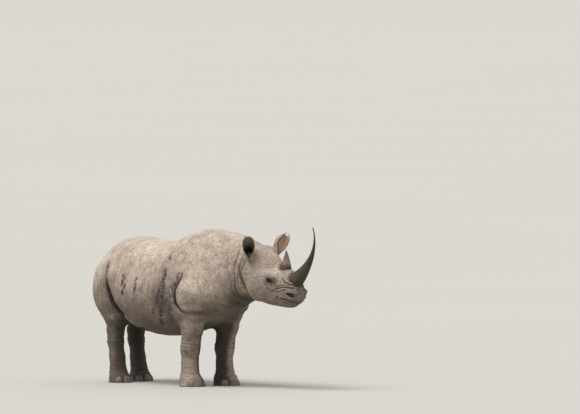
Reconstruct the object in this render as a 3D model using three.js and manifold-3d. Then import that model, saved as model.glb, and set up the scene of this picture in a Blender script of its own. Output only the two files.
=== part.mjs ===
// A black rhinoceros standing square, life size, in millimetres.
// The animal faces +X with its left side towards +Y, and its soles rest on the plane z = 0.
// The body is one smooth implicit form, which is meshed and then parted with thin cuts.
import * as THREE from 'three';
import { LoftGeometry } from 'three/addons/geometries/LoftGeometry.js';
import { mergeVertices } from 'three/addons/utils/BufferGeometryUtils.js';
import Module from 'manifold-3d';

const wasm = await Module();
wasm.setup();

// ---- driving dimensions -------------------------------------------------------------------

const shoulderHeight = 1500;          // floor to the top of the withers
const gap = 0.4;                      // clearance kept between neighbouring solids
const trunkStep = [106, 73, 73];      // mesh spacing of the trunk and neck, along x, y and z
const legStep = [56, 56, 80];
const headStep = [47, 39, 40];

// Trunk and neck sections along X, measured from the withers: top, bottom and wide are heights
// (wide is where the section is widest), and half is the half width.
const bodySections = [
  { at: -1540, top: 1150, bottom: 700, wide: 915, half: 262 },
  { at: -1400, top: 1270, bottom: 690, wide: 930, half: 298 },
  { at: -1200, top: 1370, bottom: 640, wide: 930, half: 336 },
  { at: -990, top: 1410, bottom: 580, wide: 900, half: 362 },
  { at: -780, top: 1390, bottom: 525, wide: 860, half: 392 },
  { at: -560, top: 1373, bottom: 486, wide: 840, half: 405 },
  { at: -340, top: 1404, bottom: 492, wide: 850, half: 394 },
  { at: -120, top: 1480, bottom: 536, wide: 880, half: 360 },
  { at: 0, top: shoulderHeight, bottom: 575, wide: 905, half: 335 },
  { at: 130, top: 1496, bottom: 615, wide: 930, half: 304 },
  { at: 260, top: 1486, bottom: 665, wide: 970, half: 270 },
  { at: 380, top: 1468, bottom: 735, wide: 1010, half: 244 },
  { at: 500, top: 1436, bottom: 795, wide: 1060, half: 222 },
  { at: 620, top: 1402, bottom: 840, wide: 1095, half: 204 },
  { at: 760, top: 1345, bottom: 870, wide: 1115, half: 176 },
];
const rumpRounding = 360;             // length over which the rump closes
const napeRounding = 160;             // length over which the neck closes inside the head

// The head is shaped in its own frame: x forward from the eyes, y left, z up from the eye line.
const eyeStation = new THREE.Vector3(994, 0, 1056);
const headPitch = THREE.MathUtils.degToRad(15);   // nose down
const headYaw = THREE.MathUtils.degToRad(2);      // towards the animal's left
const headRoll = THREE.MathUtils.degToRad(3);     // left side up
const headSections = [
  { at: -400, top: 190, bottom: -150, wide: 0, half: 130 },
  { at: -310, top: 238, bottom: -225, wide: -20, half: 150 },
  { at: -230, top: 205, bottom: -268, wide: -50, half: 158 },
  { at: -150, top: 145, bottom: -270, wide: -60, half: 160 },
  { at: -70, top: 98, bottom: -274, wide: -60, half: 154 },
  { at: 0, top: 88, bottom: -268, wide: -60, half: 142 },
  { at: 90, top: 82, bottom: -254, wide: -70, half: 120 },
  { at: 160, top: 68, bottom: -240, wide: -75, half: 108 },
  { at: 230, top: 40, bottom: -218, wide: -80, half: 100 },
  { at: 290, top: 4, bottom: -182, wide: -85, half: 86 },
  { at: 335, top: -30, bottom: -145, wide: -88, half: 70 },
];
const occiputRounding = 90;
const muzzleRounding = 100;

// Rounded masses that the head carries on both sides, in the head's frame.
const headMasses = {
  forehead: { centre: [-205, 50, 98], radii: [108, 70, 86], blend: 70 },
  midForehead: { centre: [-170, 0, 118], radii: [130, 60, 68], blend: 60 },
  brow: { centre: [-8, 118, 30], radii: [70, 38, 34], blend: 40 },
  cheek: { centre: [-175, 110, -120], radii: [140, 70, 125], blend: 50 },
  crest: { centre: [-285, 112, 150], radii: [58, 74, 62], blend: 50 },
  nostril: { centre: [255, 52, -68], radii: [56, 40, 40], blend: 30 },
  lip: { centre: [275, 0, -116], radii: [60, 50, 36], blend: 35 },
  chin: { centre: [185, 0, -176], radii: [65, 48, 36], blend: 35 },
  rearHornSeat: { centre: [45, 0, 50], radii: [85, 75, 56], blend: 45 },
  saddle: { centre: [125, 0, 72], radii: [55, 55, 44], blend: 35 },
};

// Horns: a curved axis in the head's middle plane (x, z), and the base's half length and half width.
// The taper is the power by which a horn thins towards its tip, a fraction of the base's size.
const frontHorn = {
  axis: [[200, 22], [335, 165], [462, 410], [334, 598]],
  halfLength: 90, halfWidth: 72, taper: 1.8, tip: 0.06, sink: 40, rings: 14, sides: 12,
};
const rearHorn = {
  axis: [[46, 60], [58, 116], [58, 190], [26, 284]],
  halfLength: 84, halfWidth: 70, taper: 1.0, tip: 0.05, sink: 25, rings: 6, sides: 10,
};

// The ears are cups. Heights along an ear are fractions of it, from its sunk root to its tip.
const ear = {
  length: 202, across: 57, deep: 74, wall: 11, wallThinning: 0.45, sink: 34, rings: 8, sides: 6,
  rootSize: 0.6, swell: [0.05, 0.62],             // the root's size, and where it widens
  closing: { from: 0.66, over: 0.345, power: 2.4 },
  opening: { least: 0.05, most: 1.2, between: [0.15, 0.6] },  // radians left open at each side
  leastHollow: 0.3, tipCrowding: 1.35,
};
// Each ear's root, given as for the left side, and its lean forward, outward and round (degrees).
const earStand = {
  left: { root: [-276, 158, 150], lean: [6, 25, -14] },
  right: { root: [-270, 180, 152], lean: [2, 17, 44] },
};

const eye = { centre: [0, 128, -2], radius: 24, sides: 9, rings: 6 };

// Legs, from the trunk down to the pastern: joints as [x, z] with a radius lengthwise and across.
// stance is the foot's shift along X, and spread the distance of the foot from the middle plane.
const foreLeg = {
  spread: 192,
  chain: [
    { x: 55, z: 900, long: 190, across: 120, out: 60 },
    { x: 45, z: 720, long: 165, across: 105, out: 22 },
    { x: 8, z: 560, long: 124, across: 92, out: 4 },
    { x: -20, z: 410, long: 92, across: 84, out: 0 },
    { x: -28, z: 350, long: 94, across: 86, out: 0 },
    { x: -34, z: 215, long: 78, across: 76, out: 0 },
    { x: -26, z: 95, long: 98, across: 98, out: 4 },
  ],
  foot: { x: -8, radius: 122, height: 95 },
};
const hindLeg = {
  spread: 172,
  chain: [
    { x: 0, z: 1000, long: 215, across: 130, out: 60 },
    { x: 15, z: 800, long: 198, across: 118, out: 42 },
    { x: -8, z: 625, long: 130, across: 92, out: 14 },
    { x: -52, z: 495, long: 98, across: 72, out: 0 },
    { x: -50, z: 400, long: 84, across: 72, out: 0 },
    { x: -28, z: 240, long: 72, across: 70, out: 0 },
    { x: -6, z: 105, long: 88, across: 86, out: 2 },
  ],
  foot: { x: 14, radius: 112, height: 88 },
};
const stance = {
  fore_leg_right: { leg: foreLeg, side: -1, shift: -45, joint: 640, from: -185, to: 235, inner: 58 },
  fore_leg_left: { leg: foreLeg, side: 1, shift: 15, joint: 640, from: -185, to: 235, inner: 58 },
  hind_leg_right: { leg: hindLeg, side: -1, shift: -1135, joint: 760, from: -460, to: 195, inner: 16 },
  hind_leg_left: { leg: hindLeg, side: 1, shift: -1230, joint: 760, from: -460, to: 240, inner: 16 },
};
const shoulder = { centre: [68, 175, 930], radii: [205, 168, 262], blend: 60 };
const haunch = { centre: [-1215, 165, 890], radii: [235, 178, 300], blend: 80 };
const barrel = { centre: [-560, 0, 850], radii: [640, 432, 372], blend: 60 };

// Folds that the main masses make on each side: a path in (x, z), how deep the far side of it
// lies, and how far that depth fades out behind the path.
const folds = {
  flank: { path: [[-1120, 1200], [-1068, 960], [-955, 745], [-830, 590]], depth: 48, fade: 150 },
  elbow: { path: [[-80, 735], [40, 700], [190, 704], [330, 742]], depth: 22, fade: 90 },
};
const foldEdge = 110;                 // width of the step at a fold

const toenail = {
  across: 36, height: 46, depth: 26, middleSize: 1.12, spreadAngle: 48, lean: 0.22,
  inset: 16, rise: 20, rings: 4, sides: 7,
};

const tail = {
  path: [[-1400, 1150], [-1500, 1112], [-1562, 1010], [-1584, 860], [-1582, 700]],
  radius: 38, tip: 18, thinning: 0.7, rings: 9, sides: 8,
};
const tailTuft = {
  length: 95, back: 6, across: 18, thick: 32, swell: { from: 0.22, over: 0.74 }, rings: 5, sides: 8,
};

// Where the neck leaves the trunk (a plane leaning back) and where the head leaves the neck.
const neckJoint = { x: 292, z: 1100, lean: THREE.MathUtils.degToRad(15) };
const headJoint = -352;

// ---- colours ------------------------------------------------------------------------------

const skinFinish = { color: 0x8d8177, roughness: 0.9, metalness: 0 };
const hornFinish = { color: 0x5f564c, roughness: 0.6, metalness: 0 };
const nailFinish = { color: 0x5a5148, roughness: 0.7, metalness: 0 };
const eyeFinish = { color: 0x17110d, roughness: 0.1, metalness: 0 };
const hairFinish = { color: 0x1d1814, roughness: 0.8, metalness: 0 };

// ---- the implicit form --------------------------------------------------------------------

function cubic(a, b, c, d, t) {
  return b + 0.5 * t * (c - a + t * (2 * a - 5 * b + 4 * c - d + t * (3 * (b - c) + d - a)));
}

// A section's values at a station, on a smooth curve through the listed sections.
function sectionAt(sections, x) {
  const last = sections.length - 1;
  let i = 0;
  while (i < last - 1 && x > sections[i + 1].at) i += 1;
  const near = [Math.max(i - 1, 0), i, i + 1, Math.min(i + 2, last)].map((k) => sections[k]);
  const t = THREE.MathUtils.clamp((x - near[1].at) / (near[2].at - near[1].at), 0, 1);
  const value = (key) => cubic(near[0][key], near[1][key], near[2][key], near[3][key], t);
  return { top: value('top'), bottom: value('bottom'), wide: value('wide'), half: value('half') };
}

// How far a section is closed at a station: 1 along the form, falling to 0 on a rounded end.
function closing(sections, x, startRounding, endRounding) {
  const fromStart = (x - sections[0].at) / startRounding;
  const fromEnd = (sections[sections.length - 1].at - x) / endRounding;
  const part = (f) => (f >= 1 ? 0 : 1 - f);
  return Math.hypot(part(fromStart), part(fromEnd));
}

// Roughly the distance from a form that is built of egg-shaped sections.
function sectionForm(sections, startRounding, endRounding, x, y, z, fullness) {
  const s = sectionAt(sections, x);
  const tall = z > s.wide ? s.top - s.wide : s.wide - s.bottom;
  const across = Math.pow(Math.abs(y) / s.half, fullness);
  const upright = Math.pow(Math.abs(z - s.wide) / tall, fullness);
  const round = Math.pow(across + upright, 1 / fullness);
  const ends = closing(sections, x, startRounding, endRounding);
  return (Math.hypot(round, ends) - 1) * Math.min(s.half, tall);
}

function massForm(mass, x, y, z) {
  const [cx, cy, cz] = mass.centre;
  const [rx, ry, rz] = mass.radii;
  const round = Math.hypot((x - cx) / rx, (y - cy) / ry, (z - cz) / rz);
  return (round - 1) * Math.min(rx, ry, rz);
}

// A limb segment between two joints, oval in plan.
function segmentForm(upper, lower, x, y, z) {
  const t = THREE.MathUtils.clamp((upper.z - z) / (upper.z - lower.z), 0, 1);
  const at = (key) => THREE.MathUtils.lerp(upper[key], lower[key], t);
  const dx = (x - at('x')) / at('long');
  const dy = (y - at('out')) / at('across');
  const over = Math.max(z - upper.z, lower.z - z, 0) / at('across');
  return (Math.hypot(dx, dy, over) - 1) * at('across');
}

function blend(a, b, width) {
  const h = Math.max(width - Math.abs(a - b), 0) / width;
  return Math.min(a, b) - h * h * width * 0.25;
}

function legForm(place, x, y, z) {
  const leg = place.leg;
  const lx = x - place.shift;
  const ly = y * place.side - leg.spread;
  let form = Infinity;
  for (let i = 0; i + 1 < leg.chain.length; i += 1) {
    form = blend(form, segmentForm(leg.chain[i], leg.chain[i + 1], lx, ly, z), 30);
  }
  const foot = leg.foot;
  const flare = foot.radius - 0.16 * Math.max(z, 0);
  const radial = Math.hypot(lx - foot.x, ly) - flare;
  const above = z - foot.height;
  const pad = Math.max(radial, above) + 0.5 * Math.max(Math.min(radial, above) + 30, 0);
  return blend(form, pad, 45);
}

const headFrame = new THREE.Matrix4().makeRotationFromEuler(
  new THREE.Euler(headRoll, headPitch, headYaw, 'ZYX'),
);
headFrame.setPosition(eyeStation);
const intoHead = headFrame.clone().invert();

function headForm(x, y, z) {
  let form = sectionForm(headSections, occiputRounding, muzzleRounding, x, y, z, 2.3);
  const side = Math.abs(y);
  for (const mass of Object.values(headMasses)) {
    form = blend(form, massForm(mass, x, side, z), mass.blend);
  }
  return form;
}

// How far a fold draws the surface in at a point: a step at the path that fades out behind it.
function foldDepth(fold, x, z) {
  let nearest = Infinity;
  let behind = 0;
  let presence = 0;
  for (let i = 0; i + 1 < fold.path.length; i += 1) {
    const [[ax, az], [bx, bz]] = [fold.path[i], fold.path[i + 1]];
    const [ex, ez] = [bx - ax, bz - az];
    const t = THREE.MathUtils.clamp(((x - ax) * ex + (z - az) * ez) / (ex * ex + ez * ez), 0, 1);
    const [dx, dz] = [x - ax - t * ex, z - az - t * ez];
    const distance = Math.hypot(dx, dz);
    if (distance >= nearest) continue;
    nearest = distance;
    behind = Math.sign(ez * dx - ex * dz) * distance;
    presence = THREE.MathUtils.smoothstep(Math.min(i + t, fold.path.length - 1 - i - t), 0, 0.6);
  }
  const step = THREE.MathUtils.smoothstep(behind, -foldEdge / 2, foldEdge / 2);
  return fold.depth * presence * step * Math.exp(-Math.max(behind, 0) / fold.fade);
}

const probe = new THREE.Vector3();

function bodyForm(x, y, z) {
  const side = Math.abs(y);
  let form = sectionForm(bodySections, rumpRounding, napeRounding, x, y, z, 2.15);
  for (const mass of [barrel, shoulder, haunch]) {
    form = blend(form, massForm(mass, x, side, z), mass.blend);
  }
  probe.set(x, y, z).applyMatrix4(intoHead);
  form = blend(form, headForm(probe.x, probe.y, probe.z), 55);
  for (const place of Object.values(stance)) form = blend(form, legForm(place, x, y, z), 70);
  for (const fold of Object.values(folds)) form += foldDepth(fold, x, z) * Math.min(side / 200, 1);
  return form;
}

// The body as far as a box reaches, closed off one mesh step inside its faces.
function bodyWithin(low, high, step) {
  const outside = (v, k) => Math.max(low[k] + 1.5 * step[k] - v, v - high[k] + 1.5 * step[k]);
  return (x, y, z) => Math.max(bodyForm(x, y, z), outside(x, 0), outside(y, 1), outside(z, 2));
}

// ---- meshing ------------------------------------------------------------------------------

// Moves a point onto the surface where the field is zero.
function settle(field, point) {
  const e = 1;
  for (let pass = 0; pass < 3; pass += 1) {
    const { x, y, z } = point;
    const value = field(x, y, z);
    const slope = new THREE.Vector3(
      field(x + e, y, z) - field(x - e, y, z),
      field(x, y + e, z) - field(x, y - e, z),
      field(x, y, z + e) - field(x, y, z - e),
    ).divideScalar(2 * e);
    point.addScaledVector(slope, -value / Math.max(slope.lengthSq(), 0.05));
  }
  return point;
}

// A closed mesh of the body inside a box: one vertex for each grid cell that the surface
// crosses, and one quad round each grid edge that it crosses.
function surfaceMesh(low, high, step) {
  const field = bodyWithin(low, high, step);
  const count = [0, 1, 2].map((k) => Math.ceil((high[k] - low[k]) / step[k]) + 1);
  const id = (i, j, k) => (k * count[1] + j) * count[0] + i;
  const value = new Float64Array(count[0] * count[1] * count[2]);
  for (let k = 0; k < count[2]; k += 1) {
    for (let j = 0; j < count[1]; j += 1) {
      for (let i = 0; i < count[0]; i += 1) {
        const [x, y, z] = [i, j, k].map((c, n) => low[n] + c * step[n]);
        value[id(i, j, k)] = field(x, y, z);
      }
    }
  }
  const vertexOf = new Map();
  const positions = [];
  const vertex = (i, j, k) => {
    const key = id(i, j, k);
    if (vertexOf.has(key)) return vertexOf.get(key);
    const point = new THREE.Vector3();
    let crossings = 0;
    for (let a = 0; a < 8; a += 1) {
      for (const bit of [1, 2, 4]) {
        const b = a | bit;
        if (b === a) continue;
        const [ca, cb] = [a, b].map((c) => [i + (c & 1), j + ((c >> 1) & 1), k + (c >> 2)]);
        const [va, vb] = [value[id(...ca)], value[id(...cb)]];
        if (va < 0 === vb < 0) continue;
        const t = va / (va - vb);
        const [x, y, z] = ca.map((c, n) => low[n] + step[n] * (c + t * (cb[n] - c)));
        point.add(probe.set(x, y, z));
        crossings += 1;
      }
    }
    settle(field, point.divideScalar(crossings));
    vertexOf.set(key, positions.length / 3);
    positions.push(point.x, point.y, point.z);
    return vertexOf.get(key);
  };
  const faces = [];
  for (let k = 1; k < count[2] - 1; k += 1) {
    for (let j = 1; j < count[1] - 1; j += 1) {
      for (let i = 1; i < count[0] - 1; i += 1) {
        const here = value[id(i, j, k)] < 0;
        const quad = (next, ring) => {
          if (here === next < 0) return;
          const [a, b, c, d] = ring.map((cell) => vertex(...cell));
          if (here) faces.push(a, b, c, a, c, d);
          else faces.push(a, c, b, a, d, c);
        };
        quad(value[id(i + 1, j, k)], [[i, j - 1, k - 1], [i, j, k - 1], [i, j, k], [i, j - 1, k]]);
        quad(value[id(i, j + 1, k)], [[i - 1, j, k - 1], [i - 1, j, k], [i, j, k], [i, j, k - 1]]);
        quad(value[id(i, j, k + 1)], [[i - 1, j - 1, k], [i, j - 1, k], [i, j, k], [i - 1, j, k]]);
      }
    }
  }
  const geometry = new THREE.BufferGeometry();
  geometry.setAttribute('position', new THREE.Float32BufferAttribute(positions, 3));
  geometry.setIndex(faces);
  return geometry;
}

// ---- cutting and joining ------------------------------------------------------------------

// The same surface with shared corners and nothing but positions.
function welded(geometry) {
  const bare = new THREE.BufferGeometry();
  bare.setAttribute('position', geometry.attributes.position);
  bare.setIndex(geometry.index);
  return mergeVertices(bare, 1e-3);
}

function solid(geometry) {
  const merged = welded(geometry);
  return new wasm.Manifold(new wasm.Mesh({
    numProp: 3,
    vertProperties: new Float32Array(merged.attributes.position.array),
    triVerts: new Uint32Array(merged.index.array),
  }));
}

function geometryOf(shape) {
  const mesh = shape.getMesh();
  const geometry = new THREE.BufferGeometry();
  geometry.setAttribute('position', new THREE.BufferAttribute(mesh.vertProperties, mesh.numProp));
  geometry.setIndex(new THREE.BufferAttribute(mesh.triVerts, 1));
  return geometry;
}

function block(low, high, frame = new THREE.Matrix4()) {
  const size = high.map((h, k) => h - low[k]);
  const box = new THREE.BoxGeometry(...size);
  box.translate(...high.map((h, k) => (h + low[k]) / 2));
  return solid(box.applyMatrix4(frame));
}

// The largest piece of a solid, without slivers that a cut leaves.
function mainPiece(shape) {
  return shape.decompose().reduce((best, piece) => (piece.volume() > best.volume() ? piece : best));
}

// ---- horns, ears, eyes, nails and tail ----------------------------------------------------

// A tapering tube along a curve; section gives the half sizes along u and v at a fraction of it.
// It runs past both ends of the curve by lead.
function tube(curve, rings, sides, u, section, lead = 0) {
  const sections = [];
  for (let r = 0; r <= rings; r += 1) {
    const t = r / rings;
    const along = curve.getTangentAt(t);
    const past = r === 0 ? -lead : r === rings ? lead : 0;
    const centre = curve.getPointAt(t).addScaledVector(along, past);
    const v = along.cross(u).normalize();
    const [halfU, halfV] = section(t);
    const ring = [];
    for (let s = 0; s < sides; s += 1) {
      const angle = (2 * Math.PI * s) / sides;
      const point = centre.clone().addScaledVector(u, halfU * Math.cos(angle));
      ring.push(point.addScaledVector(v, halfV * Math.sin(angle)));
    }
    sections.push(ring);
  }
  return new LoftGeometry(sections, { capStart: true, capEnd: true });
}

function hornGeometry(horn, extra) {
  const points = horn.axis.map(([x, z]) => new THREE.Vector3(x, 0, z));
  const curve = new THREE.CubicBezierCurve3(...points);
  const root = curve.getTangentAt(0).multiplyScalar(-horn.sink);
  const path = new THREE.CatmullRomCurve3(
    [points[0].clone().add(root), ...curve.getSpacedPoints(7)],
  );
  const side = new THREE.Vector3(0, 1, 0);
  const buried = horn.sink / path.getLength();
  const shape = (t) => {
    const left = 1 - Math.max((t - buried) / (1 - buried), 0);
    const size = THREE.MathUtils.lerp(horn.tip, 1, Math.pow(left, horn.taper));
    return [horn.halfWidth * size + extra, horn.halfLength * size + extra];
  };
  return tube(path, horn.rings, horn.sides, side, shape, extra).applyMatrix4(headFrame);
}

// A spoon-shaped cup: closed round its root, open to the front above it, and rounded at the tip,
// where its rings lie closer. It is shaped for the left side.
function earGeometry(stand, extra) {
  const arc = (across, deep, reach, height) => {
    const points = [];
    for (let s = 0; s <= ear.sides; s += 1) {
      const angle = reach * (1 - (2 * s) / ear.sides);
      points.push(new THREE.Vector3(-deep * Math.cos(angle), across * Math.sin(angle), height));
    }
    return points;
  };
  const { closing, opening } = ear;
  const sections = [];
  for (let r = 0; r <= ear.rings; r += 1) {
    const t = 1 - Math.pow(1 - r / ear.rings, ear.tipCrowding);
    const height = (ear.length + ear.sink) * t - ear.sink - (r === 0 ? extra : 0);
    const swell = THREE.MathUtils.lerp(ear.rootSize, 1, THREE.MathUtils.smoothstep(t, ...ear.swell));
    const closed = Math.pow(Math.max(t - closing.from, 0) / closing.over, closing.power);
    const size = swell * Math.sqrt(1 - closed);
    const outer = [ear.across * size, ear.deep * size];
    const wall = ear.wall * (1 - ear.wallThinning * t);
    const opened = THREE.MathUtils.smoothstep(t, ...opening.between);
    const open = THREE.MathUtils.lerp(opening.least, opening.most, opened);
    const reach = Math.PI - open + extra / outer[0];
    const inner = outer.map((half) => Math.max(half - wall, half * ear.leastHollow) - extra);
    const wide = outer.map((half) => half + extra);
    sections.push([...arc(...wide, reach, height), ...arc(...inner, reach, height).reverse()]);
  }
  const shape = new LoftGeometry(sections, { capStart: true, capEnd: true });
  const [forward, outward, turn] = stand.lean.map(THREE.MathUtils.degToRad);
  shape.rotateZ(turn);
  shape.rotateY(forward);
  shape.rotateX(-outward);
  return shape.translate(...stand.root);
}

function mirrored(geometry) {
  const turned = welded(geometry).toNonIndexed();
  const position = turned.attributes.position;
  for (let i = 0; i < position.count; i += 3) {
    const corners = [0, 1, 2].map((k) => new THREE.Vector3().fromBufferAttribute(position, i + k));
    corners.reverse().forEach((c, k) => position.setXYZ(i + k, c.x, -c.y, c.z));
  }
  return turned;
}

function onSide(side, geometry) {
  return side > 0 ? geometry : mirrored(geometry);
}

function eyeGeometry(extra) {
  return new THREE.SphereGeometry(eye.radius + extra, eye.sides, eye.rings).translate(...eye.centre);
}

function toenailGeometry(place, index, extra) {
  const foot = place.leg.foot;
  const angle = (index - 1) * THREE.MathUtils.degToRad(toenail.spreadAngle);
  const size = index === 1 ? toenail.middleSize : 1;
  const nail = new THREE.SphereGeometry(1, toenail.sides, toenail.rings);
  nail.scale(toenail.depth + extra, toenail.across * size + extra, toenail.height * size + extra);
  nail.rotateY(-toenail.lean);
  nail.translate(foot.radius - toenail.inset, 0, toenail.rise).rotateZ(angle);
  return nail.translate(place.shift + foot.x, place.side * place.leg.spread, 0);
}

function tailGeometry(extra) {
  const curve = new THREE.CatmullRomCurve3(tail.path.map(([x, z]) => new THREE.Vector3(x, 0, z)));
  const side = new THREE.Vector3(0, 1, 0);
  const thinned = (t) => Math.pow(t, tail.thinning);
  const radius = (t) => THREE.MathUtils.lerp(tail.radius, tail.tip, thinned(t)) + extra;
  return tube(curve, tail.rings, tail.sides, side, (t) => [radius(t), radius(t)], extra);
}

function tuftGeometry() {
  const [x, z] = tail.path[tail.path.length - 1];
  const start = new THREE.Vector3(x, 0, z);
  const end = new THREE.Vector3(x + tailTuft.back, 0, z - tailTuft.length);
  const side = new THREE.Vector3(0, 1, 0);
  const swell = (t) => Math.sin(Math.PI * (tailTuft.swell.from + tailTuft.swell.over * t));
  const section = (t) => [tailTuft.across * swell(t), tailTuft.thick * swell(t)];
  return tube(new THREE.LineCurve3(start, end), tailTuft.rings, tailTuft.sides, side, section);
}

// ---- the body, parted ---------------------------------------------------------------------

const neckFrame = new THREE.Matrix4().makeRotationY(-neckJoint.lean);
neckFrame.setPosition(neckJoint.x, 0, neckJoint.z);
const far = 1000;

const coarse = solid(surfaceMesh([-1790, -576, -140], [960, 576, 1640], trunkStep));
const headMesh = solid(surfaceMesh([500, -290, 640], [1500, 290, 1480], headStep));
const floor = block([-3 * far, -far, -far], [3 * far, far, 0]);
const ahead = block([0, -far, -far], [far, far, far], neckFrame);
const headSpace = (extra) => block([headJoint - extra, -far, -far], [far, far, far], headFrame);
const legSpace = (place, extra) => {
  const ys = [place.inner - extra, 560].map((y) => y * place.side).sort((a, b) => a - b);
  const low = [place.shift + place.from - extra, ys[0], -100];
  return block(low, [place.shift + place.to + extra, ys[1], place.joint + extra]);
};

const shapes = {};
shapes.head = mainPiece(headMesh.intersect(headSpace(0)));
shapes.neck = mainPiece(coarse.intersect(ahead).subtract(headSpace(gap)));
shapes.trunk = coarse.subtract(block([-gap, -far, -far], [2 * far, far, far], neckFrame));
for (const [name, place] of Object.entries(stance)) {
  const middle = place.shift + place.leg.foot.x;
  const low = [middle - 520, place.side > 0 ? -100 : -540, -140];
  const high = [middle + 520, place.side > 0 ? 540 : 100, place.joint + 190];
  const mesh = solid(surfaceMesh(low, high, legStep));
  shapes[name] = mainPiece(mesh.intersect(legSpace(place, 0)).subtract(floor));
  shapes.trunk = shapes.trunk.subtract(legSpace(place, gap));
}
shapes.trunk = mainPiece(shapes.trunk);

// ---- what sits in the body ----------------------------------------------------------------

const finish = {};
function seat(name, host, make, look, trim = (shape) => shape) {
  shapes[host] = mainPiece(shapes[host].subtract(solid(make(gap))));
  shapes[name] = mainPiece(trim(solid(make(0))).subtract(shapes[host]));
  finish[name] = look;
}

seat('horn_front', 'head', (extra) => hornGeometry(frontHorn, extra), hornFinish);
const behindHorn = (shape) => mainPiece(shape.subtract(solid(hornGeometry(frontHorn, gap))));
seat('horn_rear', 'head', (extra) => hornGeometry(rearHorn, extra), hornFinish, behindHorn);
for (const [label, side] of [['left', 1], ['right', -1]]) {
  const placed = (make) => (extra) => onSide(side, make(extra)).applyMatrix4(headFrame);
  seat(`ear_${label}`, 'head', placed((extra) => earGeometry(earStand[label], extra)), skinFinish);
  seat(`eye_${label}`, 'head', placed(eyeGeometry), eyeFinish);
}
for (const [name, place] of Object.entries(stance)) {
  for (let i = 0; i < 3; i += 1) {
    const nail = name.replace('leg', 'toenail');
    const make = (extra) => toenailGeometry(place, i, extra);
    seat(`${nail}_${i + 1}`, name, make, nailFinish, (shape) => shape.subtract(floor));
  }
}
seat('tail', 'trunk', tailGeometry, skinFinish);
shapes.tail_tuft = mainPiece(solid(tuftGeometry()).subtract(solid(tailGeometry(gap))));
finish.tail_tuft = hairFinish;

// ---- the model ----------------------------------------------------------------------------

const rhinoceros = new THREE.Group();
for (const [name, shape] of Object.entries(shapes)) {
  const look = finish[name] ?? skinFinish;
  const mesh = new THREE.Mesh(geometryOf(shape), new THREE.MeshStandardMaterial(look));
  mesh.name = name;
  rhinoceros.add(mesh);
}

// The origin is on the floor, under the middle of the whole animal.
const extent = new THREE.Box3().setFromObject(rhinoceros, true);
const middle = extent.getCenter(new THREE.Vector3());
rhinoceros.position.set(-middle.x, -middle.y, -extent.min.z);
rhinoceros.updateMatrixWorld(true);

export default rhinoceros;
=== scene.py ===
import math

import bpy
import numpy as np
from mathutils import Matrix, Vector, noise
from mathutils.kdtree import KDTree


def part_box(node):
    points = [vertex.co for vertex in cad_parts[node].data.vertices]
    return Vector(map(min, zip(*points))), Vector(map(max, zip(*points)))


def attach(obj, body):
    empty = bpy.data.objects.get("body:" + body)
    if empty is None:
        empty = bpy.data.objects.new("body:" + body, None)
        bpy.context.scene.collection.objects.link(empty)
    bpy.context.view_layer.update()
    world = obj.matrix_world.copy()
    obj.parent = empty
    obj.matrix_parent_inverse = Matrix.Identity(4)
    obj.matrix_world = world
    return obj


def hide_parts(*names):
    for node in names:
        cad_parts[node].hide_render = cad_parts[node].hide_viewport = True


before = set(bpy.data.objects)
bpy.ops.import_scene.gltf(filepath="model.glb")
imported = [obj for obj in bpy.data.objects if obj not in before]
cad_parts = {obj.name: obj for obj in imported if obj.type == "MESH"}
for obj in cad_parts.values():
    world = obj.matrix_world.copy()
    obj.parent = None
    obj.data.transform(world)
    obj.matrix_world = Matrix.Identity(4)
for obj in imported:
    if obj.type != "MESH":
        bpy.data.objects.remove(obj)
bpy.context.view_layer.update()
scene = bpy.context.scene


def boxCentre(*nodes):
    corners = [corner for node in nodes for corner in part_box(node)]
    low, high = np.min(corners, axis=0), np.max(corners, axis=0)
    return (low + high) / 2


# The body's form, in metres from the floor under the withers: x forward, y left, z up.
body = {
    "sections": [  # at, top, bottom, height of the widest place, half width
        (-1.54, 1.15, 0.70, 0.915, 0.262),
        (-1.40, 1.27, 0.69, 0.93, 0.298),
        (-1.20, 1.37, 0.64, 0.93, 0.336),
        (-0.99, 1.41, 0.58, 0.90, 0.362),
        (-0.78, 1.39, 0.525, 0.86, 0.392),
        (-0.56, 1.373, 0.486, 0.84, 0.405),
        (-0.34, 1.404, 0.492, 0.85, 0.394),
        (-0.12, 1.48, 0.536, 0.88, 0.360),
        (0.00, 1.50, 0.575, 0.905, 0.335),
        (0.13, 1.496, 0.615, 0.93, 0.304),
        (0.26, 1.486, 0.665, 0.97, 0.270),
        (0.38, 1.468, 0.735, 1.01, 0.244),
        (0.50, 1.436, 0.795, 1.06, 0.222),
        (0.62, 1.402, 0.84, 1.095, 0.204),
        (0.76, 1.345, 0.87, 1.115, 0.176),
    ],
    "ends": (0.36, 0.16), "fullness": 2.15,
    "masses": [  # centre, radii, blend
        ((-0.56, 0, 0.85), (0.64, 0.432, 0.372), 0.06),
        ((0.068, 0.175, 0.93), (0.205, 0.168, 0.262), 0.06),
        ((-1.215, 0.165, 0.89), (0.235, 0.178, 0.30), 0.08),
    ],
    "folds": [  # path in x and z, depth, fade
        ([(-1.12, 1.2), (-1.068, 0.96), (-0.955, 0.745), (-0.83, 0.59)], 0.048, 0.15),
        ([(-0.08, 0.735), (0.04, 0.70), (0.19, 0.704), (0.33, 0.742)], 0.022, 0.09),
    ],
    "foldEdge": 0.07, "foldInner": 0.2,  # how far from the middle the folds have their full depth
}
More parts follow.
